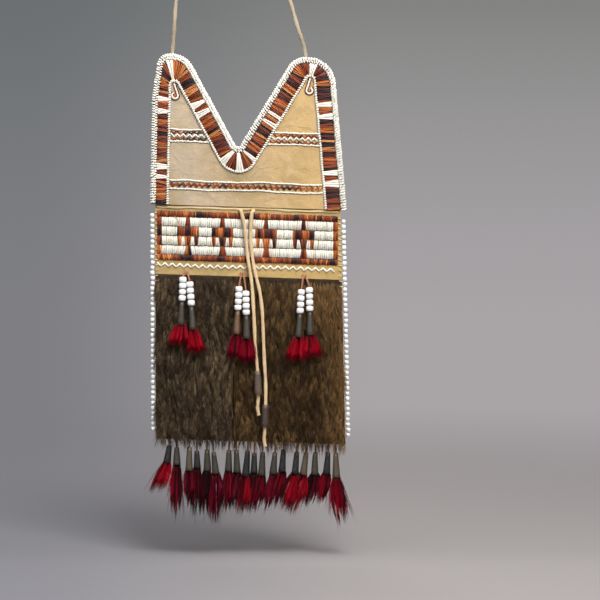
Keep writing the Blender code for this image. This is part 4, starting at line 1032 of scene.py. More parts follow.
# White wedges across the border: leg, share of its middle line, half width outside and inside
WEDGES = (
    (0, 0.195, 2.4, 1.2),
    (0, 0.268, 3.4, 1.8),
    (0, 0.658, 2.9, 1.3),
    (0, 0.744, 2.9, 1.2),
    (0, 0.992, 3.2, 0.8),
    (1, 0.414, 1.3, 3.4),
    (1, 0.498, 1.8, 3.1),
    (1, 0.937, 1.4, 3.9),
    (2, 0.009, 1.2, 3.8),
    (2, 0.089, 0.8, 2.3),
    (2, 0.426, 1.1, 2.3),
    (2, 0.506, 1.3, 1.5),
    (3, 0.033, 3.7, 1.6),
    (3, 0.297, 2.6, 1.5),
    (3, 0.376, 3.1, 1.5),
    (3, 0.753, 2.8, 1.6),
    (3, 0.826, 3.7, 1.7),
)


BORDER_MIDDLE = EDGING_WIDTH + BORDER_WIDTH / 2


def across_border(centres, inner_inset):
    """Where lines across the border through its middle's points start and end, and the way along it."""
    outer = joined(yoke_line(EDGING_WIDTH + GAP / 2))
    inner = joined(yoke_line(inner_inset, inner=True))
    out, into = nearest(outer, centres), nearest(inner, centres)
    return out, into, -beside(unit(into - out))


def border(stuff):
    """Dyed quills folded to and fro across the strip, each leaning a little against the last."""
    rng = np.random.default_rng(11)
    middle = yoke_line(BORDER_MIDDLE)
    centres = np.concatenate([at_share(leg, (np.arange(len(dyes)) + 0.5) / len(dyes))
                              for leg, dyes in zip(middle, BORDER_DYES)])
    count = len(centres)
    out, into, way = across_border(centres, BORDER_INNER - INNER_LINE + 0.5)
    half_out, half_in = (np.linalg.norm(np.gradient(line, axis=0), axis=1) / 2 for line in (out, into))
    bundle = Bundle()
    # A black layer under the strips: painted shade in the gaps between them.
    bundle.add(*quills(rng, out, into, half_out * 1.35, half_in * 1.35, BORDER_BACK + 0.1, QUILL * 0.55,
                       DYES["k"], bow=0.0))
    fold = np.where(np.arange(count) % 2, 1, -1)
    lean = (fold * rng.uniform(0.10, 0.70, count))[:, None] * way
    tones = dyed(rng, "".join(BORDER_DYES), 0.06)
    for seat in (-0.5, 0.5):
        at_out = out + lean + way * (half_out * seat + rng.normal(0, 0.08, count))[:, None]
        at_in = into - lean + way * (half_in * seat + rng.normal(0, 0.08, count))[:, None]
        share = rng.uniform(0.34, 0.48, count)
        back = BORDER_BACK - 0.12 - 0.07 * (fold + 1) - rng.uniform(0, 0.12, count)
        height = QUILL * rng.uniform(0.85, 1.25, count)
        shades = rng.uniform(0.78, 1.22, (count, 1))
        bundle.add(*quills(rng, at_out, at_in, half_out * share, half_in * share, back, height,
                           tones * shades, bow=0.10))
    bundle.piece("border_quills", stuff, replaces=["yoke_quill_border"], slot="brown_quill")


def wedge_quills(rng, bundle):
    """White blades that fan out across the border, two or three to a wedge."""
    middle = yoke_line(BORDER_MIDDLE)
    for leg, share, half_out, half_in in WEDGES:
        out, into, way = across_border(at_share(middle[leg], [share]), BORDER_INNER - INNER_LINE / 2)
        blades = 2 if half_out + half_in < 4.2 else 3
        seat = np.linspace(-1, 1, blades)[:, None] * (1 - 1 / blades)
        back = BORDER_BACK - QUILL * 0.75 - rng.uniform(0, 0.15, blades)
        bundle.add(*quills(rng, out + way * half_out * seat, into + way * half_in * seat,
                           half_out / blades * 1.04, half_in / blades * 1.04, back, QUILL * 0.95,
                           whites(rng, blades), bow=0.05))


def whipped(rng, line, width, back, height, pitch, slant, wobble=0.12):
    """A line of quill wrapped round its thread: short oblique ribs along a plan line."""
    length = line_length(line)
    count = max(int(length / pitch), 2)
    shares = (np.arange(count) + 0.5) / count
    middle = at_share(line, shares)
    way = unit(at_share(line, np.minimum(shares + 0.01, 1)) - at_share(line, np.maximum(shares - 0.01, 0)))
    side = beside(way)
    middle = middle + side * (wobble * np.sin(shares * length / 5.0 + rng.uniform(0, 6)))[:, None]
    reach = side * width / 2 + way * slant * width / 2
    scatter = rng.normal(0, 0.05, (count, 1))
    half = pitch * rng.uniform(0.34, 0.44, count)
    return quills(rng, middle - reach * (1 + scatter), middle + reach, half, half, back,
                  height * rng.uniform(0.85, 1.1, count), whites(rng, count), bow=0.05)


def inner_line(stuff):
    """The wrapped white line along the border's inner edge, and the wedges that cross the border."""
    rng = np.random.default_rng(12)
    bundle = Bundle()
    middle = joined(yoke_line(BORDER_INNER - INNER_LINE / 2, inner=True))
    bundle.add(*whipped(rng, middle, INNER_LINE * 0.84, BORDER_BACK - 0.15, 1.4, 2.15, slant=0.75))
    wedge_quills(rng, bundle)
    bundle.piece("inner_line_quills", stuff, replaces=["yoke_inner_line"], slot="white_quill")


EDGE_FRONT = YOKE_FRONT - GAP - EDGING_LIP
EDGE_BACK = BACK_FRONT + HIDE + GAP + EDGING_LIP
# Section of the rim's core as (share of the way in from its outer edge, y)
CORE_SECTION = (
    (0.98, EDGE_FRONT + 0.5),
    (0.5, EDGE_FRONT + 0.25),
    (0.12, EDGE_FRONT + 0.7),
    (0.06, -1.0),
    (0.12, EDGE_BACK - 0.7),
    (0.5, EDGE_BACK - 0.25),
    (0.98, EDGE_BACK - 0.5),
    (0.98, EDGE_BACK - 0.8),
    (0.36, EDGE_BACK - 0.8),
    (0.36, EDGE_FRONT + 0.8),
    (0.98, EDGE_FRONT + 0.8),
)

# Wraps as (share of the way in, y, shift along in wraps): round the rim from front to back, and inside it
OUTER_WRAP = (
    (0.60, EDGE_FRONT + 0.35, 0.55),
    (0.46, EDGE_FRONT - 0.10, 0.4),
    (0.22, EDGE_FRONT - 0.05, 0.15),
    (0.0, EDGE_FRONT + 0.75, 0.0),
    (-0.03, -1.0, -0.1),
    (0.0, EDGE_BACK - 0.75, -0.2),
    (0.25, EDGE_BACK + 0.05, -0.4),
    (0.6, EDGE_BACK + 0.05, -0.6),
    (0.98, EDGE_BACK - 0.4, -0.8),
)
INNER_WRAP = (
    (0.56, EDGE_FRONT + 0.40, -0.35),
    (0.66, EDGE_FRONT - 0.02, -0.2),
    (0.84, EDGE_FRONT, 0.1),
    (1.04, EDGE_FRONT + 0.5, 0.35),
)
WRAP_PITCH = 2.3
STITCH_PITCH = 3.4
STITCH_TONES = ((0.30, 0.13, 0.10), (0.16, 0.12, 0.11), (0.42, 0.30, 0.18))
RIM_STEPS = 900

def rim_point(outer, inner, u, share):
    """Plan point at u along the whole rim and a share of the way in from its outer edge."""
    out = at_share(outer, u)
    return out + (at_share(inner, u) - out) * np.asarray(share)[..., None]


def edging(stuff):
    """Quill-wrapped rim: an outer row of wraps over the edge and a row of short ones inside it."""
    rng = np.random.default_rng(13)
    outer = at_share(joined(yoke_line(0.0)), np.linspace(0, 1, RIM_STEPS))
    inner = nearest(joined(yoke_line(EDGING_WIDTH)), outer)
    step = sum(np.linalg.norm(np.diff(line, axis=0), axis=1) for line in (outer, inner))
    passed = np.concatenate([[0], np.cumsum(step)])
    even = np.linspace(0, passed[-1], RIM_STEPS)
    outer, inner = (np.stack([np.interp(even, passed, line[:, i]) for i in (0, 1)], -1)
                    for line in (outer, inner))
    length = passed[-1] / 2
    bundle = Bundle()
    # The core shows between the wraps; it is coloured near black as painted shade in the gaps.
    core = np.stack([at_plan(outer + (inner - outer) * share, y) for share, y in CORE_SECTION], 1)
    core = core.reshape(-1, 3)
    painted_gap_shade = np.full(core.shape, np.array(CREAM) * 0.22)
    bundle.add(core, tube_faces(1, RIM_STEPS, len(CORE_SECTION)), painted_gap_shade, 0 * core)
    for wrap, half, offset in ((OUTER_WRAP, 0.88, 0.5), (INNER_WRAP, 0.80, 0.75)):
        count = int(length / WRAP_PITCH)
        stand = rng.normal(0, 0.12, count)
        scallop = rng.normal(0, 0.03, count)
        u = (np.arange(count) + offset + rng.normal(0, 0.05, count)) / count
        stations = []
        for share, y, shift in wrap:
            plan = rim_point(outer, inner, u + shift / count, share + scallop)
            proud = -stand if y < -1 else stand
            stations.append(at_plan(plan, y + proud + rng.normal(0, 0.03, count)))
        ahead, behind = (rim_point(outer, inner, u + aside / count, 0.5) for aside in (0.3, -0.3))
        way = unit(ahead - behind)
        across = np.stack([way[:, 0], 0 * u, way[:, 1]], -1)[:, None]
        s = len(wrap)
        fade = np.ones(s)
        fade[[0, -1]] = 0.7
        wide = half * rng.uniform(0.82, 1.12, count)[:, None] * fade
        points, faces, turn = sweep(np.stack(stations, 1), across, wide, 0.58, 8)
        grain = grained(turn, np.linspace(0, 8, s), rng.uniform(0, 50, count), s, 8)
        bundle.add(points, faces, spread(whites(rng, count), s, 8), grain)
    # dark stitch ends along the middle of the rim
    count = int(length / STITCH_PITCH)
    u = (np.arange(count) + rng.uniform(0.1, 0.9, count)) / count
    plan = rim_point(outer, inner, u, rng.uniform(0.5, 0.64, count))
    ahead = rim_point(outer, inner, u + 1.0 / length, rng.uniform(0.5, 0.64, count))
    dark = np.array(STITCH_TONES)[rng.integers(0, 3, count)]
    bundle.add(*quills(rng, plan, ahead, 0.42, 0.42, EDGE_FRONT + 0.05, 0.7, dark, bow=0.0))
    bundle.piece("edging_wraps", stuff, replaces=["yoke_edging"], slot="white_quill")


ROW_BACK = YOKE_FRONT - 0.05


def zigzag_line(left, right, level, swing, pitch):
    """Plan points of a zigzag that swings above and below a level."""
    count = max(int(round((right - left) / (pitch / 2))), 2)
    step_x = (right - left) / count
    heights = (level + swing, level - swing)
    return np.array([(left + k * step_x, heights[k % 2]) for k in range(count + 1)])


def strand_segments(rng, line, half, back, height, tones):
    """Quill strand folded along a zigzag: one short quill for each leg, overlapping at the turns."""
    a, b = line[:-1], line[1:]
    way = unit(b - a)
    lift = np.where(np.arange(len(a)) % 2, 0.12, 0.0)
    return quills(rng, a - way * half * 0.5, b + way * half * 0.5, half, half, back - lift, height, tones,
                  bow=0.05)


def chained(rng, line, pitch, half, back, height, arch):
    """Long white stitches end to end along a plan line, each arched the same way."""
    count = max(int(round(line_length(line) / pitch)), 1)
    stops = at_share(line, np.arange(count + 1) / count) + rng.normal(0, 0.12, (count + 1, 2))
    way = unit(np.diff(stops, axis=0))
    return quills(rng, stops[:-1] - way * 0.25, stops[1:] + way * 0.25, half, half, back, height,
                  whites(rng, count), bow=0.12, arch=arch)


def spaced(dyes, count):
    """So many letters, picked evenly along a row's."""
    return [dyes[int(k / count * len(dyes))] for k in range(count)]


def tab_row(name, node, left_at, right_at, seed, stuff, dyes):
    """White lines above and below, with a dark, a white and a dark zigzag nested between."""
    rng = np.random.default_rng(seed)
    bundle = Bundle()
    top = TAB_ROW_TOP
    bottom = top - TAB_ROW_HEIGHT
    back = ROW_BACK
    for z, sag, arch in ((top - 0.9, -0.5, -0.35), (bottom + 0.9, 0.5, -0.35)):
        left, right = left_at(z), right_at(z)
        x = np.linspace(left, right, 24)
        line = np.stack([x, z + sag * np.sin((x - left) / (right - left) * pi)], -1)
        bundle.add(*chained(rng, line, 2.9, 0.74, back, 1.05, arch * 0.6))
    high = top - INNER_LINE
    low = bottom + INNER_LINE
    third = (high - low) / 3
    for level, half in ((high - 0.40 * third, 0.7), (high - 1.5 * third, 0.62), (high - 2.60 * third, 0.7)):
        left, right = left_at(level) + 0.7, right_at(level) - 0.7
        line = zigzag_line(left, right, level, 1.4, 5.3)
        line[1:-1] += rng.normal(0, 0.15, line[1:-1].shape)
        count = len(line) - 1
        white = half < 0.7
        tones = whites(rng, count) if white else dyed(rng, spaced(dyes, count), 0.12)
        bundle.add(*strand_segments(rng, line, half, back - 0.25 * white, 0.85, tones))
    bundle.piece(name, stuff, replaces=[node], slot="white_quill")


def lower_row(stuff, left_at, right_at):
    """Two white lines with a waving brown strand and its darker shadow strand between them."""
    rng = np.random.default_rng(23)
    bundle = Bundle()
    top = LOWER_ROW_TOP
    bottom = top - LOWER_ROW_HEIGHT
    back = ROW_BACK
    for z, phase in ((top - 0.9, 0.4), (bottom + 0.9, 1.3)):
        left, right = left_at(z), right_at(z)
        x = np.linspace(left, right, 60)
        line = np.stack([x, z + 0.45 * np.sin(x / 13.0 + phase) + 0.2 * np.sin(x / 4.7)], -1)
        bundle.add(*chained(rng, line, 3.0, 0.72, back, 1.05, -0.2))
    middle = (top + bottom) / 2
    left, right = left_at(middle) + 0.8, right_at(middle) - 0.8
    dyes = "rrkrrbrprbkrrpprrobrrorrrorrrpkprlolorol"
    line = zigzag_line(left, right, middle, 1.6, 5.2)
    shadow = line + np.array([0.95, 0.75])
    for strand, half, lift, strand_dyes in ((shadow, 0.5, -0.1, "kbprkpbk"), (line, 0.68, 0.12, dyes)):
        tones = dyed(rng, spaced(strand_dyes, len(strand) - 1), 0.2)
        bundle.add(*strand_segments(rng, strand, half, back - lift, 0.85, tones))
    bundle.piece("lower_row_quills", stuff, replaces=["lower_zigzag_row"], slot="white_quill")


def hook(name, side, stuff, seed):
    """A curled quill hook: a white strand between two dark ones, with a rust knot in its curl."""
    rng = np.random.default_rng(seed)
    leg = yoke_line(BORDER_INNER - INNER_LINE, inner=True)[0 if side == 1 else 3]
    top = leg[-1] if side == 1 else leg[0]
    x = top[0] + side * HOOK_ASIDE
    z = top[1] - HOOK_TOP
    foot = z - HOOK_DROP
    points = [(x, z), (x + side * HOOK_LEAN / 2, z - HOOK_DROP / 2), (x + side * HOOK_LEAN, foot)]
    for angle in HOOK_TURNS:
        turn = radians(angle)
        points.append((x + side * (HOOK_LEAN - HOOK_CURL * (1 - cos(turn))), foot - HOOK_CURL * sin(turn)))
    middle = smooth_line([(px, 0, pz) for px, pz in points], 8)[:, [0, 2]]
    way = unit(np.gradient(middle, axis=0))
    normal = beside(way)
    s = len(middle)
    across = np.stack([normal[:, 0], np.zeros(s), normal[:, 1]], -1)
    bundle = Bundle()
    strands = ((0.0, 0.75, WHITE, 0.25), (-1.15, 0.55, DYES["p"], 0.0), (1.15, 0.55, DYES["r"], 0.0))
    for shift, half, tone, lift in strands:
        paths = at_plan(middle + normal * shift * side, YOKE_FRONT - 0.35 - lift)[None]
        points, faces, turn = sweep(paths, across, half, 0.42, 8)
        tones = np.array(tone) * (1 + 0.15 * np.sin(np.arange(s) * 1.7))[:, None]
        grain = grained(turn, np.linspace(0, 20, s), np.array([seed + shift]), s, 8)
        bundle.add(points, faces, np.repeat(np.clip(tones, 0, 1), 8, 0), grain)
    knot = np.array([[x + side * (HOOK_LEAN - HOOK_CURL), foot - 0.3]])
    bundle.add(*quills(rng, knot - 0.8, knot + 0.8, 0.7, 0.7, YOKE_FRONT - 0.05, 0.7, DYES["o"], bow=0.0))
    bundle.piece(name + "_quills", stuff, replaces=[name], slot="white_quill")


def rows_and_hooks(stuff):
    clear = BORDER_INNER + GAP
    sides = [lambda z, leg=leg: yoke_x(z, clear, leg) for leg in range(4)]
    tab_row("left_tab_quills", "left_tab_zigzag", sides[0], sides[1], 21, stuff, "rrbrkpkkkpkkpk")
    tab_row("right_tab_quills", "right_tab_zigzag", sides[2], sides[3], 22, stuff, "rorprrborkprrbrr")
    lower_row(stuff, sides[0], sides[3])
    hook("left_hook", 1, stuff, 31)
    hook("right_hook", -1, stuff, 32)


def lane_cells():
    """Cells of each lane as (left top, left bottom, right top, right bottom, is brown)."""
    start = -FRAME_LEFT + FRAME_POST
    end = FRAME_RIGHT - FRAME_POST
    lanes = []
    for lane in range(LANES):
        browns = [(-FRAME_LEFT, -FRAME_LEFT, start, start)]
        for x in BIRD_X:
            if lane == 0:
                browns.append((x - HEAD_TOP, x - HEAD_BASE, x + HEAD_TOP, x + HEAD_BASE))
            elif lane == 1:
                browns.append((x - WING_SPAN, x - WING_SPAN, x + WING_SPAN, x + WING_SPAN))
            elif lane == 2:
                tip = WING_SPAN - WING_TIP
                browns.append((x - WING_SPAN, x - WING_SPAN + 0.9, x - tip, x - tip - 0.7))
                browns.append((x - BODY_TOP, x - BODY_BASE, x + BODY_TOP, x + BODY_BASE))
                browns.append((x + tip, x + tip + 0.7, x + WING_SPAN, x + WING_SPAN - 0.9))
            else:
                browns.append((x - TAIL_TOP, x - TAIL_BASE, x + TAIL_TOP, x + TAIL_BASE))
        browns.append((end, end, FRAME_RIGHT, FRAME_RIGHT))
        cells = []
        for brown, after in zip(browns, browns[1:]):
            cells.append((*brown, True))
            cells.append((brown[2], brown[3], after[0], after[1], False))
        cells.append((*browns[-1], True))
        lanes.append(cells)
    return lanes


# One letter for each dyed strand along a lane, in groups for its brown cells, and along the two bars
LANE_DYES = (
    "rrrb rrrbb brrrb kpkpp rroor rprr",
    "kkpk rrrroopkkprrooork kkrroloorkkkprroor kkrrobppppkprroork kkpprooorbkkkprork rrrb",
    "rrpr ollo brrrppbr rork kkrb rooloolo ooor kkrr ppkrrpbr oorr rorr orroorro rkkb ooor",
    "ooll oorkkkr rorrlrr rrrrpbr rooorrb kbrr",
)
BAR_DYES = (
    "rbrorrbrrroorolkkkkrbrrorbrorrbrrrpkkkpboorlbrbrorbrrkkrbrorrpbkrbrrpk",
    "oroolorrbkpkkprrorbrrbrkkprrorbrrokkkpbrrorbrorrbrbrkkpprrobrrborrbkkr",
)
STRAY_FIBRE = ((-67.0, -10.2), (-64.8, -13.0), (-63.6, -16.2), (-64.0, -19.4))
WHITE_PITCH = 2.0
STRAND_PITCH = 1.15


def strand_row(bundle, rng, starts, ends, half_start, half_end, back, letters, lean):
    """Dyed strands side by side, leaning to and fro in turn, and their colours' own unevenness."""
    count = len(starts)
    turn = np.where(np.arange(count) % 2, 1, -1) * rng.uniform(0.4, 1.2, count) * lean
    shift = np.stack([turn, np.zeros(count)], -1)
    shades = rng.uniform(0.75, 1.3, (count, 1))
    # A darker brown layer under the strands: painted shade in the gaps between them.
    under = np.array(DYES["b"]) * 0.8
    bundle.add(*quills(rng, starts, ends, half_start * 1.3, half_end * 1.3, back + 0.15, 0.5, under, bow=0.0))
    bundle.add(*quills(rng, starts + shift, ends - shift, half_start * rng.uniform(0.85, 1.1, count),
                       half_end * rng.uniform(0.85, 1.1, count), back - rng.uniform(0, 0.22, count),
                       rng.uniform(0.85, 1.15, count), dyed(rng, letters, 0.06) * shades, bow=0.08))


def lane_row(rng, cell, top, bottom, pitch):
    """Top and bottom of each quill across a cell, and their half widths."""
    left_top, left_bottom, right_top, right_bottom = cell
    width = max(right_top - left_top, right_bottom - left_bottom)
    count = max(int(round(width / pitch)), 1)
    middle = (np.arange(count) + 0.5) / count
    across_top, across_bottom = right_top - left_top, right_bottom - left_bottom
    starts = np.stack([left_top + across_top * middle, top + rng.normal(0, 0.16, count)], -1)
    ends = np.stack([left_bottom + across_bottom * middle, bottom + rng.normal(0, 0.16, count)], -1)
    return starts, ends, across_top / count / 2, across_bottom / count / 2


def band(stuff):
    """Lanes of folded quills standing side by side: white ground, brown birds, posts and bars."""
    rng = np.random.default_rng(41)
    ground, brown = Bundle(), Bundle()
    back = BAND_FRONT - 0.2
    for lane, cells in enumerate(lane_cells()):
        top = LANES_TOP - lane * LANE - 0.25
        bottom = top - LANE + 0.5
        letters = iter(LANE_DYES[lane].replace(" ", "") * 2)
        for *cell, is_brown in cells:
            if is_brown:
                row = lane_row(rng, cell, top + 0.15, bottom - 0.15, STRAND_PITCH)
                strand_row(brown, rng, *row, back, [next(letters) for _ in row[0]], 0.2)
                continue
            starts, ends, half_top, half_bottom = lane_row(rng, cell, top, bottom, WHITE_PITCH)
            count = len(starts)
            starts[:, 0] += rng.normal(0.1, 0.12, count)
            ends[:, 0] += rng.normal(-0.1, 0.12, count)
            tones = whites(rng, count, (0.76, 0.75, 0.67))
            stained = (rng.random(count) < 0.10)[:, None] | ((lane == 3) & (abs(starts[:, :1] - 8.5) < 4.5))
            tones = np.where(stained, tones * (0.95, 0.84, 0.80), tones)
            ground.add(*quills(rng, starts, ends, half_top * 1.04, half_bottom * 1.04, back,
                               rng.uniform(0.95, 1.12, count), tones, bow=0.05))
    count = int((FRAME_LEFT + FRAME_RIGHT) / STRAND_PITCH)
    x = np.linspace(-FRAME_LEFT + 0.8, FRAME_RIGHT - 0.8, count)
    for dyes, high in zip(BAR_DYES, (LANES_TOP + FRAME_BAR, LANES_BOTTOM)):
        starts = np.stack([x, high + 0.2 + rng.normal(0, 0.2, count)], -1)
        ends = np.stack([x, high - FRAME_BAR + rng.normal(0, 0.2, count)], -1)
        strand_row(brown, rng, starts, ends, 0.66, 0.66, back, spaced(dyes, count), 0.55)
    # sewn lines between the lanes, and the stray curved fibre over the first one
    count = int((FRAME_LEFT + FRAME_RIGHT - 2 * FRAME_POST) / 1.3)
    x = np.linspace(-FRAME_LEFT + FRAME_POST, FRAME_RIGHT - FRAME_POST, count)
    for z in (LANES_TOP - lane * LANE for lane in range(1, LANES)):
        at = x + rng.normal(0, 0.2, count)
        a = np.stack([at - 0.5, z + rng.normal(0, 0.08, count)], -1)
        b = np.stack([at + 0.5, z + rng.normal(0, 0.08, count)], -1)
        ground.add(*quills(rng, a, b, 0.26, 0.26, back + 0.05, 0.6,
                           np.array((0.30, 0.19, 0.09)) * rng.uniform(0.5, 1.5, (count, 1)), bow=0.0))
    stray = smooth_line([(x, 0, z) for x, z in STRAY_FIBRE], 6)[:, [0, 2]]
    brown.add(*quills(rng, stray[:-1], stray[1:], 0.34, 0.34, back - 0.95, 0.5, (0.62, 0.36, 0.13), bow=0.0))
    ground.piece("band_white_quills", stuff, replaces=["band_ground"], slot="white_quill")
    brown.piece("band_brown_quills", stuff, replaces=["band_figures"], slot="brown_quill")


def under_band_zigzag(stuff):
    """The white zigzag on the hem under the band."""
    rng = np.random.default_rng(42)
    bundle = Bundle()
    line = zigzag_line(-FRAME_LEFT, FRAME_RIGHT - 3.0, -BAND_ZIGZAG_DROP, BAND_ZIGZAG_SWING,
                       BAND_ZIGZAG_PITCH)
    line[:, 1] += 0.5 * np.sin(line[:, 0] / 21.0)
    bundle.add(*strand_segments(rng, line, 0.75, BAND_FRONT - 0.05, 0.9, whites(rng, len(line) - 1)))
    bundle.piece("band_zigzag_quills", stuff, replaces=["band_zigzag"], slot="white_quill")


# Beads

def lathe(profile, sides):
    """Closed turned ring about Z from (radius, height) points that run round its section, and its faces."""
    profile = np.array(profile, float)
    s = len(profile)
    turns = 2 * pi * np.arange(sides) / sides
    points = np.stack([
        profile[:, 0][:, None] * np.cos(turns),
        profile[:, 0][:, None] * np.sin(turns),
        np.broadcast_to(profile[:, 1][:, None], (s, sides)),
    ], -1).reshape(-1, 3)
    i = np.arange(s)[:, None]
    k = np.arange(sides)
    low = i * sides
    high = (i + 1) % s * sides
    faces = np.stack([low + k, low + (k + 1) % sides, high + (k + 1) % sides, high + k], -1).reshape(-1, 4)
    return points, faces


def bead_profile(radius, half, hole, crown):
    """Section of a bead: inner bore up, and its rounded outside back down."""
    outside = []
    for k in range(9):
        angle = pi / 2 - pi * k / 8
        wide = abs(cos(angle)) ** crown
        high = np.sign(sin(angle)) * abs(sin(angle)) ** crown
        outside.append((hole + (radius - hole) * wide, half * high))
    return [(hole, -half * 0.9), (hole, half * 0.9), *outside]


def turned_to(points, axis, centre):
    """Points about Z turned so that Z runs along axis, moved to centre (metres)."""
    rotation = Vector((0, 0, 1)).rotation_difference(Vector(axis)).to_matrix()
    return points @ np.array(rotation).T * MM + np.asarray(centre)


# A seam stitch as (reach in from the seam, y, drop), the y of the first five from the front's own
SEAM_STITCH = (
    (3.0, 0.25, 0.9),
    (2.0, -0.25, 0.5),
    (0.6, -0.35, 0.1),
    (-0.5, 0.4, -0.1),
    (-0.75, 1.2, -0.2),
    (-0.4, 2.0, -0.3),
    (0.8, 2.15, -0.6),
    (2.2, 1.9, -0.9),
)
SIDE_BEADS = int((POUCH_DEPTH - BEAD_STRING_LIFT - BEAD_STRING_TOP) / SEED_BEAD)


def side_beads(name, x_at, seed, stuff):
    """Seed beads down one side seam, each sewn on a little unevenly."""
    rng = np.random.default_rng(seed)
    bundle = Bundle()
    base, quads = lathe(bead_profile(2.12, 1.95, 0.55, 0.8), 14)
    for k in range(SIDE_BEADS):
        z = -BEAD_STRING_TOP - (k + 0.5) * SEED_BEAD
        centre = place(x_at(z) + rng.normal(0, 0.14), rng.normal(0, 0.12), z)
        axis = (rng.normal(0, 0.13) - ASKEW * 0.2, rng.normal(0, 0.13), 1.0)
        size = rng.uniform(0.93, 1.06)
        bundle.bead(base * size, quads, axis, centre)
    bundle.piece(name + "_beads", stuff, replaces=[name], slot="white_beads")


def seam_stitches(name, x_at, inside, seed, stuff):
    """Whip stitches of sinew over the side seam, between the beads."""
    rng = np.random.default_rng(seed)
    count = SIDE_BEADS
    z = -BEAD_STRING_TOP - np.arange(count) * SEED_BEAD
    edge = x_at(z)
    front_y = np.where(z > -BAND_HEM, BAND_FRONT - 0.25, -0.9)
    stations = []
    for reach, y, drop in SEAM_STITCH:
        at = front_y + y if y < 1.0 else y
        stations.append(place(edge + inside * reach, at, z + drop + rng.normal(0, 0.1, count)))
    wide = np.array([0.3, 0.45, 0.5, 0.5, 0.5, 0.5, 0.45, 0.3])
    points, faces, turn = sweep(np.stack(stations, 1), (0.0, 0.0, 1.0), wide, wide * 0.6, 6)
    s = len(SEAM_STITCH)
    tones = np.array((0.62, 0.46, 0.22)) * rng.uniform(0.75, 1.2, (count, 1))
    grain = grained(turn, np.arange(s), rng.uniform(0, 50, count), s, 6)
    add_piece(name, points, faces, stuff, tone=spread(tones, s, 6), grain=grain, slot="thong")


# Fur

PELT_TOP = -BAND_HEM - GAP


def pile_at(z):
    """How far the fur stands out, rising down from the pelt's top."""
    top = PELT_TOP
    return PILE_TOP + (PILE_FULL - PILE_TOP) * smooth((top - z) / PILE_RISE_OVER)


def pelt_skin(name, left_at, right_at, stuff):
    """Dense underfur: a closed pad under the strands."""
    top = PELT_TOP
    columns, rows = 40, 60
    share = np.linspace(0, 1, columns)
    z = np.linspace(top, -POUCH_DEPTH + 0.6, rows)
    left, right = left_at(z), right_at(z)
    x = left[:, None] + (right - left)[:, None] * share
    edge = np.minimum(smooth(share / 0.03), smooth((1 - share) / 0.03))
    lumps = 0.28 * np.sin(x * 1.15 + np.sin(z[:, None] * 0.3) * 2) + 0.2 * np.sin(z[:, None] * 0.9 + x * 0.5)
    foot = smooth((z[:, None] + POUCH_DEPTH) / 6.0) * 0.75 + 0.25
    front = -(0.3 + (pile_at(z)[:, None] * 0.62 + lumps * 0.7) * (0.35 + 0.65 * edge) * foot)
    face = place(x, np.minimum(front, -0.35), z[:, None])
    rear = place(x, 0.0, z[:, None])
    points = np.concatenate([face.reshape(-1, 3), rear.reshape(-1, 3)])
    i = np.arange(rows - 1)[:, None] * columns
    k = np.arange(columns - 1)
    quads = np.stack([i + k, i + columns + k, i + columns + k + 1, i + k + 1], -1).reshape(-1, 4)
    n = rows * columns
    rim = np.concatenate([
        np.arange(columns), np.arange(2 * columns - 1, n, columns),
        np.arange(n - 2, n - columns - 1, -1), np.arange(n - 2 * columns, 0, -columns),
    ])
    walls = np.stack([rim, np.roll(rim, -1), np.roll(rim, -1) + n, rim + n], -1)
    return add_piece(name + "_underfur", points, [quads, quads[:, ::-1] + n, walls], stuff,
                     replaces=[name], slot="fur")


FUR_GOLD = (0.54, 0.30, 0.115)
LOCK_WIDTH = 3.1
LOCK_LENGTH = 7.5
LOCK_SWAY = 0.35


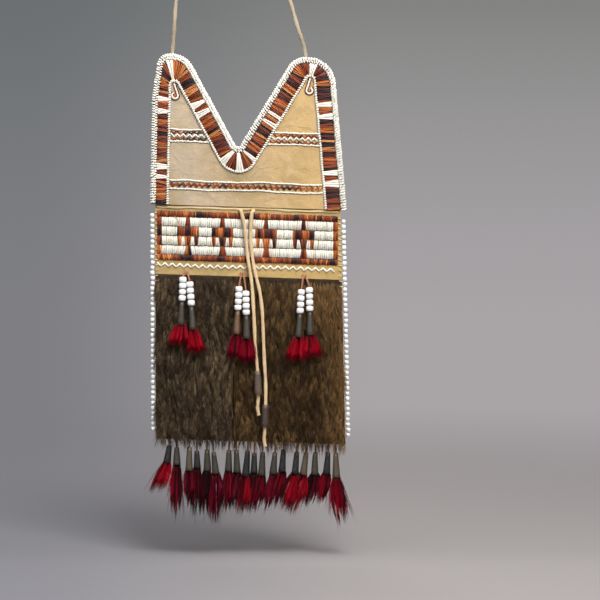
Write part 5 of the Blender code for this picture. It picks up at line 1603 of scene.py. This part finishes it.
def pelt_fur(name, left_at, right_at, count, seed, stuff, dark, mid, tip, reach, lean):
    """Strands lying down the pelt in locks."""
    rng = np.random.default_rng(seed)
    top = PELT_TOP
    z = rng.uniform(-POUCH_DEPTH + 0.8, top - 0.5, count)
    low_left, low_right = left_at(z), right_at(z)
    x = low_left + (low_right - low_left) * rng.uniform(0.004, 0.996, count)
    flow = lean + 0.16 * np.sin(x / 16.0 + z / 27.0 + seed) + 0.10 * np.sin(x / 6.5 - z / 11.0)
    sway = LOCK_SWAY * np.sin(z / 9.0)
    lock_x = np.floor(x / LOCK_WIDTH + sway)
    lock_z = np.floor(z / LOCK_LENGTH + 0.5 * np.sin(x / 5.0))
    key = lock_x * 73.0 + lock_z * 179.0
    lock_tone = (np.sin(key * 12.9898) * 43758.5453) % 1.0
    lock_turn = (np.sin(key * 78.233) * 12543.123) % 1.0 - 0.5
    lock_high = (np.sin(key * 39.425) * 22578.145) % 1.0
    length = reach * rng.uniform(0.65, 1.2, count)
    angle = flow + 0.55 * lock_turn + rng.normal(0, 0.13, count)
    ends_x = x + length * np.sin(angle)
    ends_z = z - length * np.cos(angle)
    middle_x = (lock_x + 0.5 - sway) * LOCK_WIDTH + length * np.sin(flow + 0.55 * lock_turn)
    ends_x = ends_x + (middle_x - ends_x) * rng.uniform(0.25, 0.6, count)
    low = smooth((-z - 90.0) / 80.0)
    ends_x = ends_x - 4.5 * low * smooth((left_at(z) - x + 9.0) / 9.0) * rng.random(count) * (x < -60.0)
    ends_x = np.clip(ends_x, left_at(ends_z) - 2.4 - 2.8 * low, right_at(ends_z) + 2.6)
    ends_z = np.where(z < -POUCH_DEPTH + 9.0, ends_z - 3.5 * rng.random(count), ends_z)
    root_y = -pile_at(z) * 0.45
    high = 0.80 + 0.42 * lock_high + rng.normal(0, 0.12, count)
    tip_y = -pile_at(ends_z) * np.clip(high, 0.45, 1.45)
    below = np.clip((-POUCH_DEPTH - ends_z) / 10.0, 0, 1)
    tip_y = tip_y * (1 - 0.55 * below)
    bulge = -pile_at((z + ends_z) / 2) * np.clip(high + 0.25, 0.6, 1.6)
    bulge = bulge * (1 - 0.4 * below)
    root = np.stack([x, root_y, z], -1)
    end = np.stack([ends_x, tip_y, ends_z], -1)
    lift = bulge - (root_y + tip_y) / 2
    bend = (root + end) / 2 + np.stack([rng.normal(0, 0.5, count), lift, rng.normal(0, 0.3, count)], -1)
    t = np.array([0.0, 0.42, 1.0])
    curve = sum(share[:, None] * point[:, None] for share, point in (
        ((1 - t) ** 2, root), (2 * t * (1 - t), bend), (t ** 2, end)))
    paths = place(curve[..., 0], curve[..., 1], curve[..., 2])
    wide = rng.uniform(0.12, 0.22, count)[:, None] * np.array([1.0, 0.85, 0.0])
    points, faces, _ = sweep(paths, (1.0, 0.0, 0.0), wide, wide * 0.8, 3, pointed=True)
    shade = np.clip(0.66 * lock_tone + 0.34 * rng.random(count), 0, 1)
    broad = 0.5 + 0.5 * np.sin(x / 23.0 + 1.3 * np.sin(z / 31.0) + seed)
    shade = np.clip(shade * 0.8 + broad * 0.2, 0, 1)[:, None]
    edge_gold = smooth((x - right_at(z) + 24.0) / 24.0)
    top_gold = smooth((z + 135.0) / 60.0) * smooth((x - 30.0) / 32.0)
    gold = (np.maximum(edge_gold, top_gold) * (x > 0) * rng.uniform(0.4, 1.0, count))[:, None]
    dark, mid, tip = (np.array(tone) for tone in (dark, mid, tip))
    tone = np.where(shade < 0.5, dark + (mid - dark) * shade * 2, mid + (tip - mid) * (shade - 0.5) * 2)
    tone = tone * (1 - 0.75 * gold) + np.array(FUR_GOLD) * 0.75 * gold
    tone = np.broadcast_to(tone[:, None, :], (count, 3, 3))
    # Darker roots and paler tips: partly the fur's own tipped colour, partly painted shade deep in the pile.
    tips = np.array([0.30, 0.75, 1.85])[None, :, None]
    tones = spread((tone * tips).reshape(count, 3, 3), 3, 3, pointed=True)
    along = spread(np.broadcast_to(t, (count, 3))[..., None], 3, 3, pointed=True)
    add_piece(name + "_strands", points, faces, stuff, tone=tones.reshape(-1, 3), along=along.reshape(-1),
              slot="fur")


def pelts():
    skin = skin_material()
    fur = hair_material("fur", 0.5)
    seam = GAP / 2
    sides = (
        ("fur_left", pouch_left, lambda z: PELT_SEAM_X - seam + 0 * z, 14000, 51,
         (0.026, 0.018, 0.010), (0.130, 0.090, 0.055), (0.42, 0.29, 0.16), 10.0, 0.0),
        ("fur_right", lambda z: PELT_SEAM_X + seam + 0 * z, pouch_right, 18600, 52,
         (0.024, 0.013, 0.006), (0.125, 0.072, 0.030), (0.42, 0.25, 0.10), 12.0, 0.04),
    )
    for name, left_at, right_at, count, seed, dark, mid, tip, reach, lean in sides:
        pelt_skin(name, left_at, right_at, skin)
        pelt_fur(name, left_at, right_at, count, seed, fur, dark, mid, tip, reach, lean)


# Tin cones, dangles and tassels

DANGLE_HAIRS = 560
TASSEL_HAIRS = 480
HAIR_LOCKS = 18
HAIR_IN_CONE = 2.5
HAIR_EXTRA = 3.5
TIN_DARK = (0.014, 0.018, 0.020)
TIN_GREY = (0.055, 0.052, 0.042)
TIN_BROWN = (0.115, 0.092, 0.062)
TIN_RUST = (0.170, 0.095, 0.058)


def rolled_cone(bundle, rng, top, foot, top_radius, mouth_radius, tone):
    """Sheet tin rolled to a cone with its edge lapped over, a little dented. top and foot are in metres."""
    sections, around = 7, 22
    lap = radians(38)
    start = rng.uniform(pi * 1.1, pi * 1.9)
    axis = unit(foot - top)
    first = unit(np.cross(axis, (0.0, 1.0, 0.0)))
    second = np.cross(axis, first)
    j = np.arange(around + 1) / around
    angle = start + (2 * pi + lap) * j
    f = np.linspace(0, 1, sections)
    radius = top_radius + (mouth_radius - top_radius) * f ** 0.92
    dents = np.sin(2 * angle + rng.uniform(0, 6)) * np.sin(f[:, None] * 5 + rng.uniform(0, 6))
    outside = radius[:, None] * (1 + 0.035 * dents) + CONE_WALL * 0.9 * (j[None, :] - 0.5) * 0.9
    inside = outside - CONE_WALL * 0.55
    skew = np.where(f == 1.0, 1.0, 0.0)[:, None] * 0.5 * np.sin(angle[None, :] * 0.5)
    centre = top[None, :] + (foot - top)[None, :] * f[:, None]
    round_axis = first * np.cos(angle)[:, None] + second * np.sin(angle)[:, None]
    outer, inner = (centre[:, None] + round_axis * shell[..., None] * MM + axis * skew[..., None] * MM
                    for shell in (outside, inside))
    wide = around + 1
    count = 2 * wide
    quads, _, _ = tube_faces(1, sections, count)
    m = np.arange(around)
    corners = np.stack([m, count - 1 - m, count - 2 - m, m + 1], -1)
    ends = [corners, ((sections - 1) * count + corners)[:, ::-1]]
    length = np.linalg.norm(foot - top) / MM
    f = f[:, None]
    grain = np.broadcast_arrays(np.concatenate([angle, angle[::-1]]), f * length, rng.uniform(0, 50))
    # Tone by place: brighter along the lapped edge and round the mouth, and the inner face darker, painted
    # shade inside the cone.
    near_edge = np.concatenate([j > 0.93, (j > 0.93)[::-1]])
    near_edge[0] = True
    shade = (1 + 0.9 * near_edge * (f > 0.05)) * (1 + 0.7 * (f == 1.0)) * np.repeat([1.0, 0.35], wide)
    loop = np.concatenate([outer, inner[:, ::-1]], 1)
    bundle.add(loop.reshape(-1, 3), [quads, *ends], (np.array(tone) * shade[..., None]).reshape(-1, 3),
               np.stack(grain, -1).reshape(-1, 3))


def hair_tuft(name, root, way, length, mouth, half, count, tones, stuff, body, seed, drift=0.0, nodes=(),
              ragged=0.34, pinch=0.35):
    """Dyed hair from a cone's mouth: locks that fan out, with ragged tips and stray ends. root in metres."""
    rng = np.random.default_rng(seed)
    bright, deep, black = tones
    locks = HAIR_LOCKS
    lock = rng.integers(0, locks, count)
    seat = rng.permutation(np.linspace(-1, 1, locks))[lock]
    depth = rng.uniform(-0.8, 0.8, locks)[lock]
    apart = rng.normal(0, 0.13, (2, count, 1))
    stray = rng.random(count) < 0.09
    t = np.array([0.0, 0.18, 0.42, 0.72, 1.0])
    within = np.sqrt(1 - np.clip(seat, -0.95, 0.95) ** 2)
    start = np.stack([seat * 0.9, depth * within]) * mouth
    end = np.stack([seat * half, depth * half * 0.5]) * np.where(stray, 1.6, 1.12)
    reach = length * (1 - ragged * rng.random(locks)[lock] - 0.6 * ragged * rng.random(count) ** 2
                      - 0.3 * ragged * seat ** 2)
    reach = np.where(stray, reach * 1.12, reach)
    share = reach[:, None] / length * t
    curl = rng.normal(0, 1.15, locks)[lock][:, None] * np.sin(t * pi * rng.uniform(0.7, 1.4, (count, 1)))
    phase, start_at = rng.normal(0, 0.30, (count, 1)), rng.uniform(3, 7, (count, 1))
    wave = phase * np.sin(t * start_at + rng.uniform(0, 6, (count, 1))) * t
    grow = t ** 0.85
    open_ = apart * (mouth * (1 - t) + half * t * (1 - 0.7 * t))
    closing = np.where(stray[:, None], 1.0, 1 - pinch * t ** 3)
    x = (start[0][:, None] * (1 - grow) + end[0][:, None] * grow * closing + open_[0]
         + drift * share ** 1.15 + wave + curl)
    y = start[1][:, None] * (1 - grow) + end[1][:, None] * grow + open_[1] * 0.6 + wave[:, ::-1] * 0.5
    way = unit(np.asarray(way, float))
    paths = (np.asarray(root)[None, None, :] + way[None, None, :] * (reach[:, None] * t)[..., None] * MM
             + np.stack([x, y, 0 * x], -1) * MM)
    wide = rng.uniform(0.11, 0.22, count)[:, None] * np.array([1.0, 1.1, 1.0, 0.8, 0.0])
    points, faces, _ = sweep(paths, (1.0, 0.0, 0.0), wide, wide * 0.85, 3, pointed=True)
    dark = rng.random(locks)[lock] < black
    mix = np.clip(rng.random(locks)[lock] * 0.7 + rng.normal(0.1, 0.22, count), 0, 1)[:, None]
    colour = np.array(bright) * (1 - mix) + np.array(deep) * mix
    colour = np.where(dark[:, None], np.array((0.016, 0.004, 0.006)) + colour * 0.12, colour)
    # Darker towards the root: painted shade where the hairs crowd into the cone's mouth.
    colour = colour[:, None, :] * np.array([0.5, 0.8, 1.0, 1.1, 1.15])[None, :, None]
    add_piece(name, points, faces, stuff, body=body, slot="red_hair", replaces=nodes,
              tone=spread(colour, 5, 3, pointed=True),
              along=spread(np.broadcast_to(t, (count, 5))[..., None], 5, 3, pointed=True).reshape(-1))


def thong_piece(name, path, stuff, body, seed):
    """A short thong along world points in metres."""
    rng = np.random.default_rng(seed)
    path = smooth_line(path, 4)
    s = len(path)
    half = FINE_THONG / 2 * 0.95
    wide = half * (1 + 0.1 * np.sin(np.arange(s) * 1.3 + seed) + rng.normal(0, 0.03, s))
    points, faces, turn = sweep(path[None], (1.0, 0.15, 0.0), wide, wide * 0.7, 8)
    length = np.concatenate([[0], np.cumsum(np.linalg.norm(np.diff(path, axis=0), axis=1))]) / MM
    grain = grained(turn, length, np.array([seed * 1.7]), s, 8)
    add_piece(name, points, faces, stuff, body=body, slot="thong", grain=grain)


# Front dangles: x of the thong's top and of the bead line, lean, first bead's drop, hair length, flare and
# half width, as in the CAD source, and the tin's and hair's colours
DANGLES = (
    ("dangle_1_left", -57.7, -59.7, -0.04, 66.9, 19.0, -2.0, 6.4, TIN_GREY),
    ("dangle_1_right", -55.3, -53.4, 0.07, 71.1, 22.0, 2.2, 6.4, TIN_GREY),
    ("dangle_2_left", -7.4, -9.4, -0.05, 73.7, 22.0, -1.6, 4.6, TIN_RUST),
    ("dangle_2_right", -5.0, -3.1, 0.02, 77.8, 23.0, 0.4, 4.4, TIN_GREY),
    ("dangle_3_left", 48.1, 46.6, -0.06, 74.7, 22.0, -2.4, 6.2, TIN_GREY),
    ("dangle_3_right", 50.7, 53.9, 0.02, 72.8, 21.0, 2.0, 6.4, TIN_GREY),
)

# The hair's brighter and deeper colour, and the share of its locks that are nearly black
RED = ((0.50, 0.003, 0.018), (0.16, 0.002, 0.008), 0.10)
CRIMSON = ((0.31, 0.003, 0.018), (0.075, 0.002, 0.008), 0.26)
WINE = ((0.20, 0.004, 0.020), (0.05, 0.002, 0.010), 0.30)
BLACKISH = ((0.15, 0.003, 0.012), (0.025, 0.002, 0.005), 0.60)

# Tassels: x of the thong's top, cone's drop below the hem and length, sideways shift at the cone's mouth,
# hair length and its further shift, as in the CAD source, then the hair's half width and the two colours
TASSELS = (
    (-72.1, 4.6, 15.8, -2.8, 30.0, -12.5, 8.0, TIN_DARK, RED),
    (-66.2, 6.4, 15.6, 0.2, 51.0, -1.6, 5.5, TIN_GREY, CRIMSON),
    (-54.4, 5.8, 21.2, -0.4, 33.0, -0.8, 5.0, TIN_BROWN, CRIMSON),
    (-48.0, 9.0, 15.6, 0.6, 48.0, -1.2, 5.0, TIN_DARK, BLACKISH),
    (-38.8, 7.6, 19.3, 0.4, 40.0, -1.4, 6.2, TIN_GREY, BLACKISH),
    (-33.6, 9.8, 19.6, 3.0, 49.0, 0.0, 7.0, TIN_GREY, WINE),
    (-18.7, 7.4, 19.0, -0.6, 40.0, -4.4, 5.5, TIN_GREY, CRIMSON),
    (-12.2, 7.0, 20.4, 0.8, 39.0, -4.8, 6.5, TIN_GREY, WINE),
    (-1.4, 7.4, 23.2, -2.4, 38.0, -5.0, 6.0, TIN_DARK, RED),
    (4.5, 9.2, 18.2, -0.6, 38.0, -5.4, 6.2, TIN_DARK, BLACKISH),
    (11.9, 8.2, 21.2, -1.2, 36.0, -6.0, 5.5, TIN_GREY, CRIMSON),
    (23.6, 8.2, 19.4, -2.5, 37.0, -8.8, 6.2, TIN_GREY, WINE),
    (31.0, 5.2, 20.3, -1.8, 36.0, -9.6, 5.8, TIN_DARK, CRIMSON),
    (43.2, 7.0, 20.0, -2.2, 37.0, -12.0, 7.2, TIN_DARK, RED),
    (51.9, 7.4, 20.0, -3.4, 39.0, -12.5, 7.6, TIN_BROWN, RED),
    (59.4, 6.9, 20.4, -0.7, 30.0, -7.4, 6.8, TIN_GREY, BLACKISH),
    (71.3, 6.4, 19.7, -1.8, 28.0, -7.4, 5.8, TIN_DARK, CRIMSON),
    (77.6, 7.0, 22.0, 0.6, 46.0, 5.4, 8.5, TIN_BROWN, CRIMSON),
)


def dangle(number, stuffs, name, top_x, line_x, lean, first_bead, hair_length, flare, hair_half, tin):
    """A front dangle: its thong, four pony beads, tin cone and tuft of hair."""
    rng = np.random.default_rng(60 + number)
    thong = FINE_THONG / 2
    top_y = BAND_FRONT - GAP - thong
    pivot = place(top_x, top_y, -HANGER_DROP)
    pivot[1] -= drape(np.array(top_x), np.array(-HANGER_DROP)) * MM
    body = name + "_body"
    first = first_bead - HANGER_DROP
    line_y = DANGLE_STAND_OFF - top_y

    def on_line(drop):
        x = line_x - top_x + lean * (drop - first)
        return np.array([x, line_y - DANGLE_SLOPE * drop, -drop]) * MM + pivot

    def beaded(drop):
        near = float(smooth(drop / DANGLE_BEND))
        ease = float(smooth(drop / (first - PONY_BEAD / 2)))
        x = (line_x - top_x + lean * (drop - first)) * ease
        return np.array([x, (line_y - DANGLE_SLOPE * drop) * near, -drop]) * MM + pivot

    route = [pivot + np.array([0, 1.2, 0.6]) * MM, beaded(0.2)]
    route += [beaded(d) for d in (2.5, 5.0, first - PONY_BEAD * 0.45)]
    route += [on_line(first + PONY_PITCH), on_line(first + 3 * PONY_PITCH + PONY_BEAD * 0.6)]
    thong_piece(name + "_thong", route, stuffs["dark_thong"], body, number)
    bundle = Bundle()
    base, quads = lathe(bead_profile(PONY_BEAD / 2 + 0.4, 2.55, 0.95, 0.62), 22)
    for k in range(PONY_BEADS):
        drop = first + k * PONY_PITCH
        axis = on_line(drop) - on_line(drop + 1)
        axis = unit(axis) + rng.normal(0, 0.05, 3)
        bundle.bead(base * rng.uniform(0.97, 1.03), quads, axis, on_line(drop))
    bundle.piece(name + "_pony_beads", stuffs["bead"], body=body, replaces=[name + "_beads"],
                 slot="white_beads")
    cone_top = first + (PONY_BEADS - 0.5) * PONY_PITCH + GAP
    cone = Bundle()
    foot = on_line(cone_top + CONE_LENGTH)
    rolled_cone(cone, rng, on_line(cone_top), foot, CONE_TOP / 2 + 0.2, CONE_MOUTH / 2 + 0.1, tin)
    cone.piece(name + "_tin", stuffs["tin"], body=body, replaces=[name + "_cone"], slot="tin")
    way = unit(on_line(60) - on_line(20))
    tones = (RED, RED, CRIMSON, CRIMSON, RED, RED)[number]
    hair_tuft(name + "_brush", foot - way * HAIR_IN_CONE * MM, way, hair_length + HAIR_EXTRA,
              CONE_MOUTH / 2 - 0.7, hair_half * 1.12, DANGLE_HAIRS, tones, stuffs["hair"], body,
              80 + number, flare, [name + "_hair"],
              ragged=0.14, pinch=0.0)


def tassel(number, stuffs, top_x, cone_drop, cone_length, shift, hair_length, drift, hair_half, tin, tones):
    """A bottom tassel: its thong, tin cone and tuft of hair."""
    rng = np.random.default_rng(100 + number)
    name = "tassel_%02d" % (number + 1)
    body = name + "_body"
    thong = FINE_THONG / 2
    pivot = place(top_x, BACK_FRONT + HIDE / 2, -POUCH_DEPTH - GAP - thong)
    mouth = cone_drop + cone_length

    def on_line(drop):
        return pivot + np.array([shift * max(drop, 0.0) / mouth, 0.0, -drop]) * MM

    route = [on_line(drop) for drop in (-0.6, 1.5, cone_drop * 0.7, cone_drop + 2.0)]
    thong_piece(name + "_thong", route, stuffs["dark_thong"], body, number + 7)
    cone = Bundle()
    rolled_cone(cone, rng, on_line(cone_drop), on_line(mouth), TASSEL_CONE_TOP / 2 + 0.35,
                TASSEL_CONE_MOUTH / 2 + 0.35, tin)
    cone.piece(name + "_tin", stuffs["tin"], body=body, replaces=[name], slot="tin")
    hair_tuft(name + "_brush", on_line(mouth - HAIR_IN_CONE), (0, 0, -1), hair_length + HAIR_EXTRA,
              TASSEL_CONE_MOUTH / 2 - 0.6, hair_half, TASSEL_HAIRS, tones, stuffs["hair"], body, 140 + number,
              drift)


def tie_cones(stuff):
    """Tin cones threaded on the tie's ends."""
    rng = np.random.default_rng(70)
    made = []
    bore = (TIE_THICK + 3 * GAP) / cos(pi / 8)
    for name, top, foot, tin in (
        ("tie_cone_left", (7.3, -9.2, -146.5), (8.0, -9.2, -168.0), (0.15, 0.115, 0.09)),
        ("tie_cone_right", (14.5, -9.3, -177.0), (13.9, -9.4, -197.0), (0.075, 0.055, 0.045)),
    ):
        cone = Bundle()
        rolled_cone(cone, rng, place(*top), place(*foot), bore / 2 + CONE_WALL * 0.9,
                    (CONE_MOUTH + 0.8) / 2 - 0.3, tin)
        made.append(cone.piece(name + "_tin", stuff, replaces=[name], slot="tin"))
    return made


def dark_thong_material():
    """The fine thongs' hide, darkened by handling."""
    look = Look("dark_thong")
    fibres = look.streaks((2.0, 0.6, 1.0), 1.6, 5.0, 0.7)
    tones = look.ramp(fibres, [
        (0.25, (0.15, 0.055, 0.025)),
        (0.55, (0.36, 0.155, 0.08)),
        (0.85, (0.55, 0.30, 0.17)),
    ])
    look.set(Base_Color=tones, Roughness=0.75)
    look.bump(fibres, 0.5, 0.0005)
    return look.material


camera()
strap_look = thong_material("strap_hide", (0.29, 0.23, 0.16), (0.42, 0.35, 0.26), (0.55, 0.48, 0.37))
tie_look = thong_material("tie_hide", (0.42, 0.27, 0.14), (0.66, 0.48, 0.29), (0.82, 0.64, 0.42))
tin_look = tin_material()
left_tin, right_tin = tie_cones(tin_look)
thong_cord("strap", STRAP_ROUTE, STRAP_THICK, strap_look, 1, 2.5)
thong_cord("tie_left", TIE_LEFT_ROUTE, TIE_THICK, tie_look, 2, 2.2)
thong_cord("tie_right", TIE_RIGHT_ROUTE, TIE_THICK, tie_look, 3, 2.6)
lights()
floor()
hide_panels()
quill_look = quill_material()
edging(quill_look)
border(quill_look)
inner_line(quill_look)
rows_and_hooks(quill_look)
band(quill_look)
under_band_zigzag(quill_look)
seed_look = bead_material("seed_bead", (0.80, 0.80, 0.78), 0.22)
beyond = GAP + SEED_BEAD / 2
side_beads("left_bead_string", lambda z: pouch_left(z) - beyond, 43, seed_look)
side_beads("right_bead_string", lambda z: pouch_right(z) + beyond, 44, seed_look)
seam_stitches("left_seam_stitches", pouch_left, 1.0, 45, quill_look)
seam_stitches("right_seam_stitches", pouch_right, -1.0, 46, quill_look)
pelts()
looks = {
    "tin": tin_look,
    "hair": hair_material("dyed_hair", 0.38),
    "bead": bead_material("pony_bead", (0.85, 0.85, 0.85), 0.14),
    "dark_thong": dark_thong_material(),
}
for number, sizes in enumerate(DANGLES):
    dangle(number, looks, *sizes)
for number, sizes in enumerate(TASSELS):
    tassel(number, looks, *sizes)
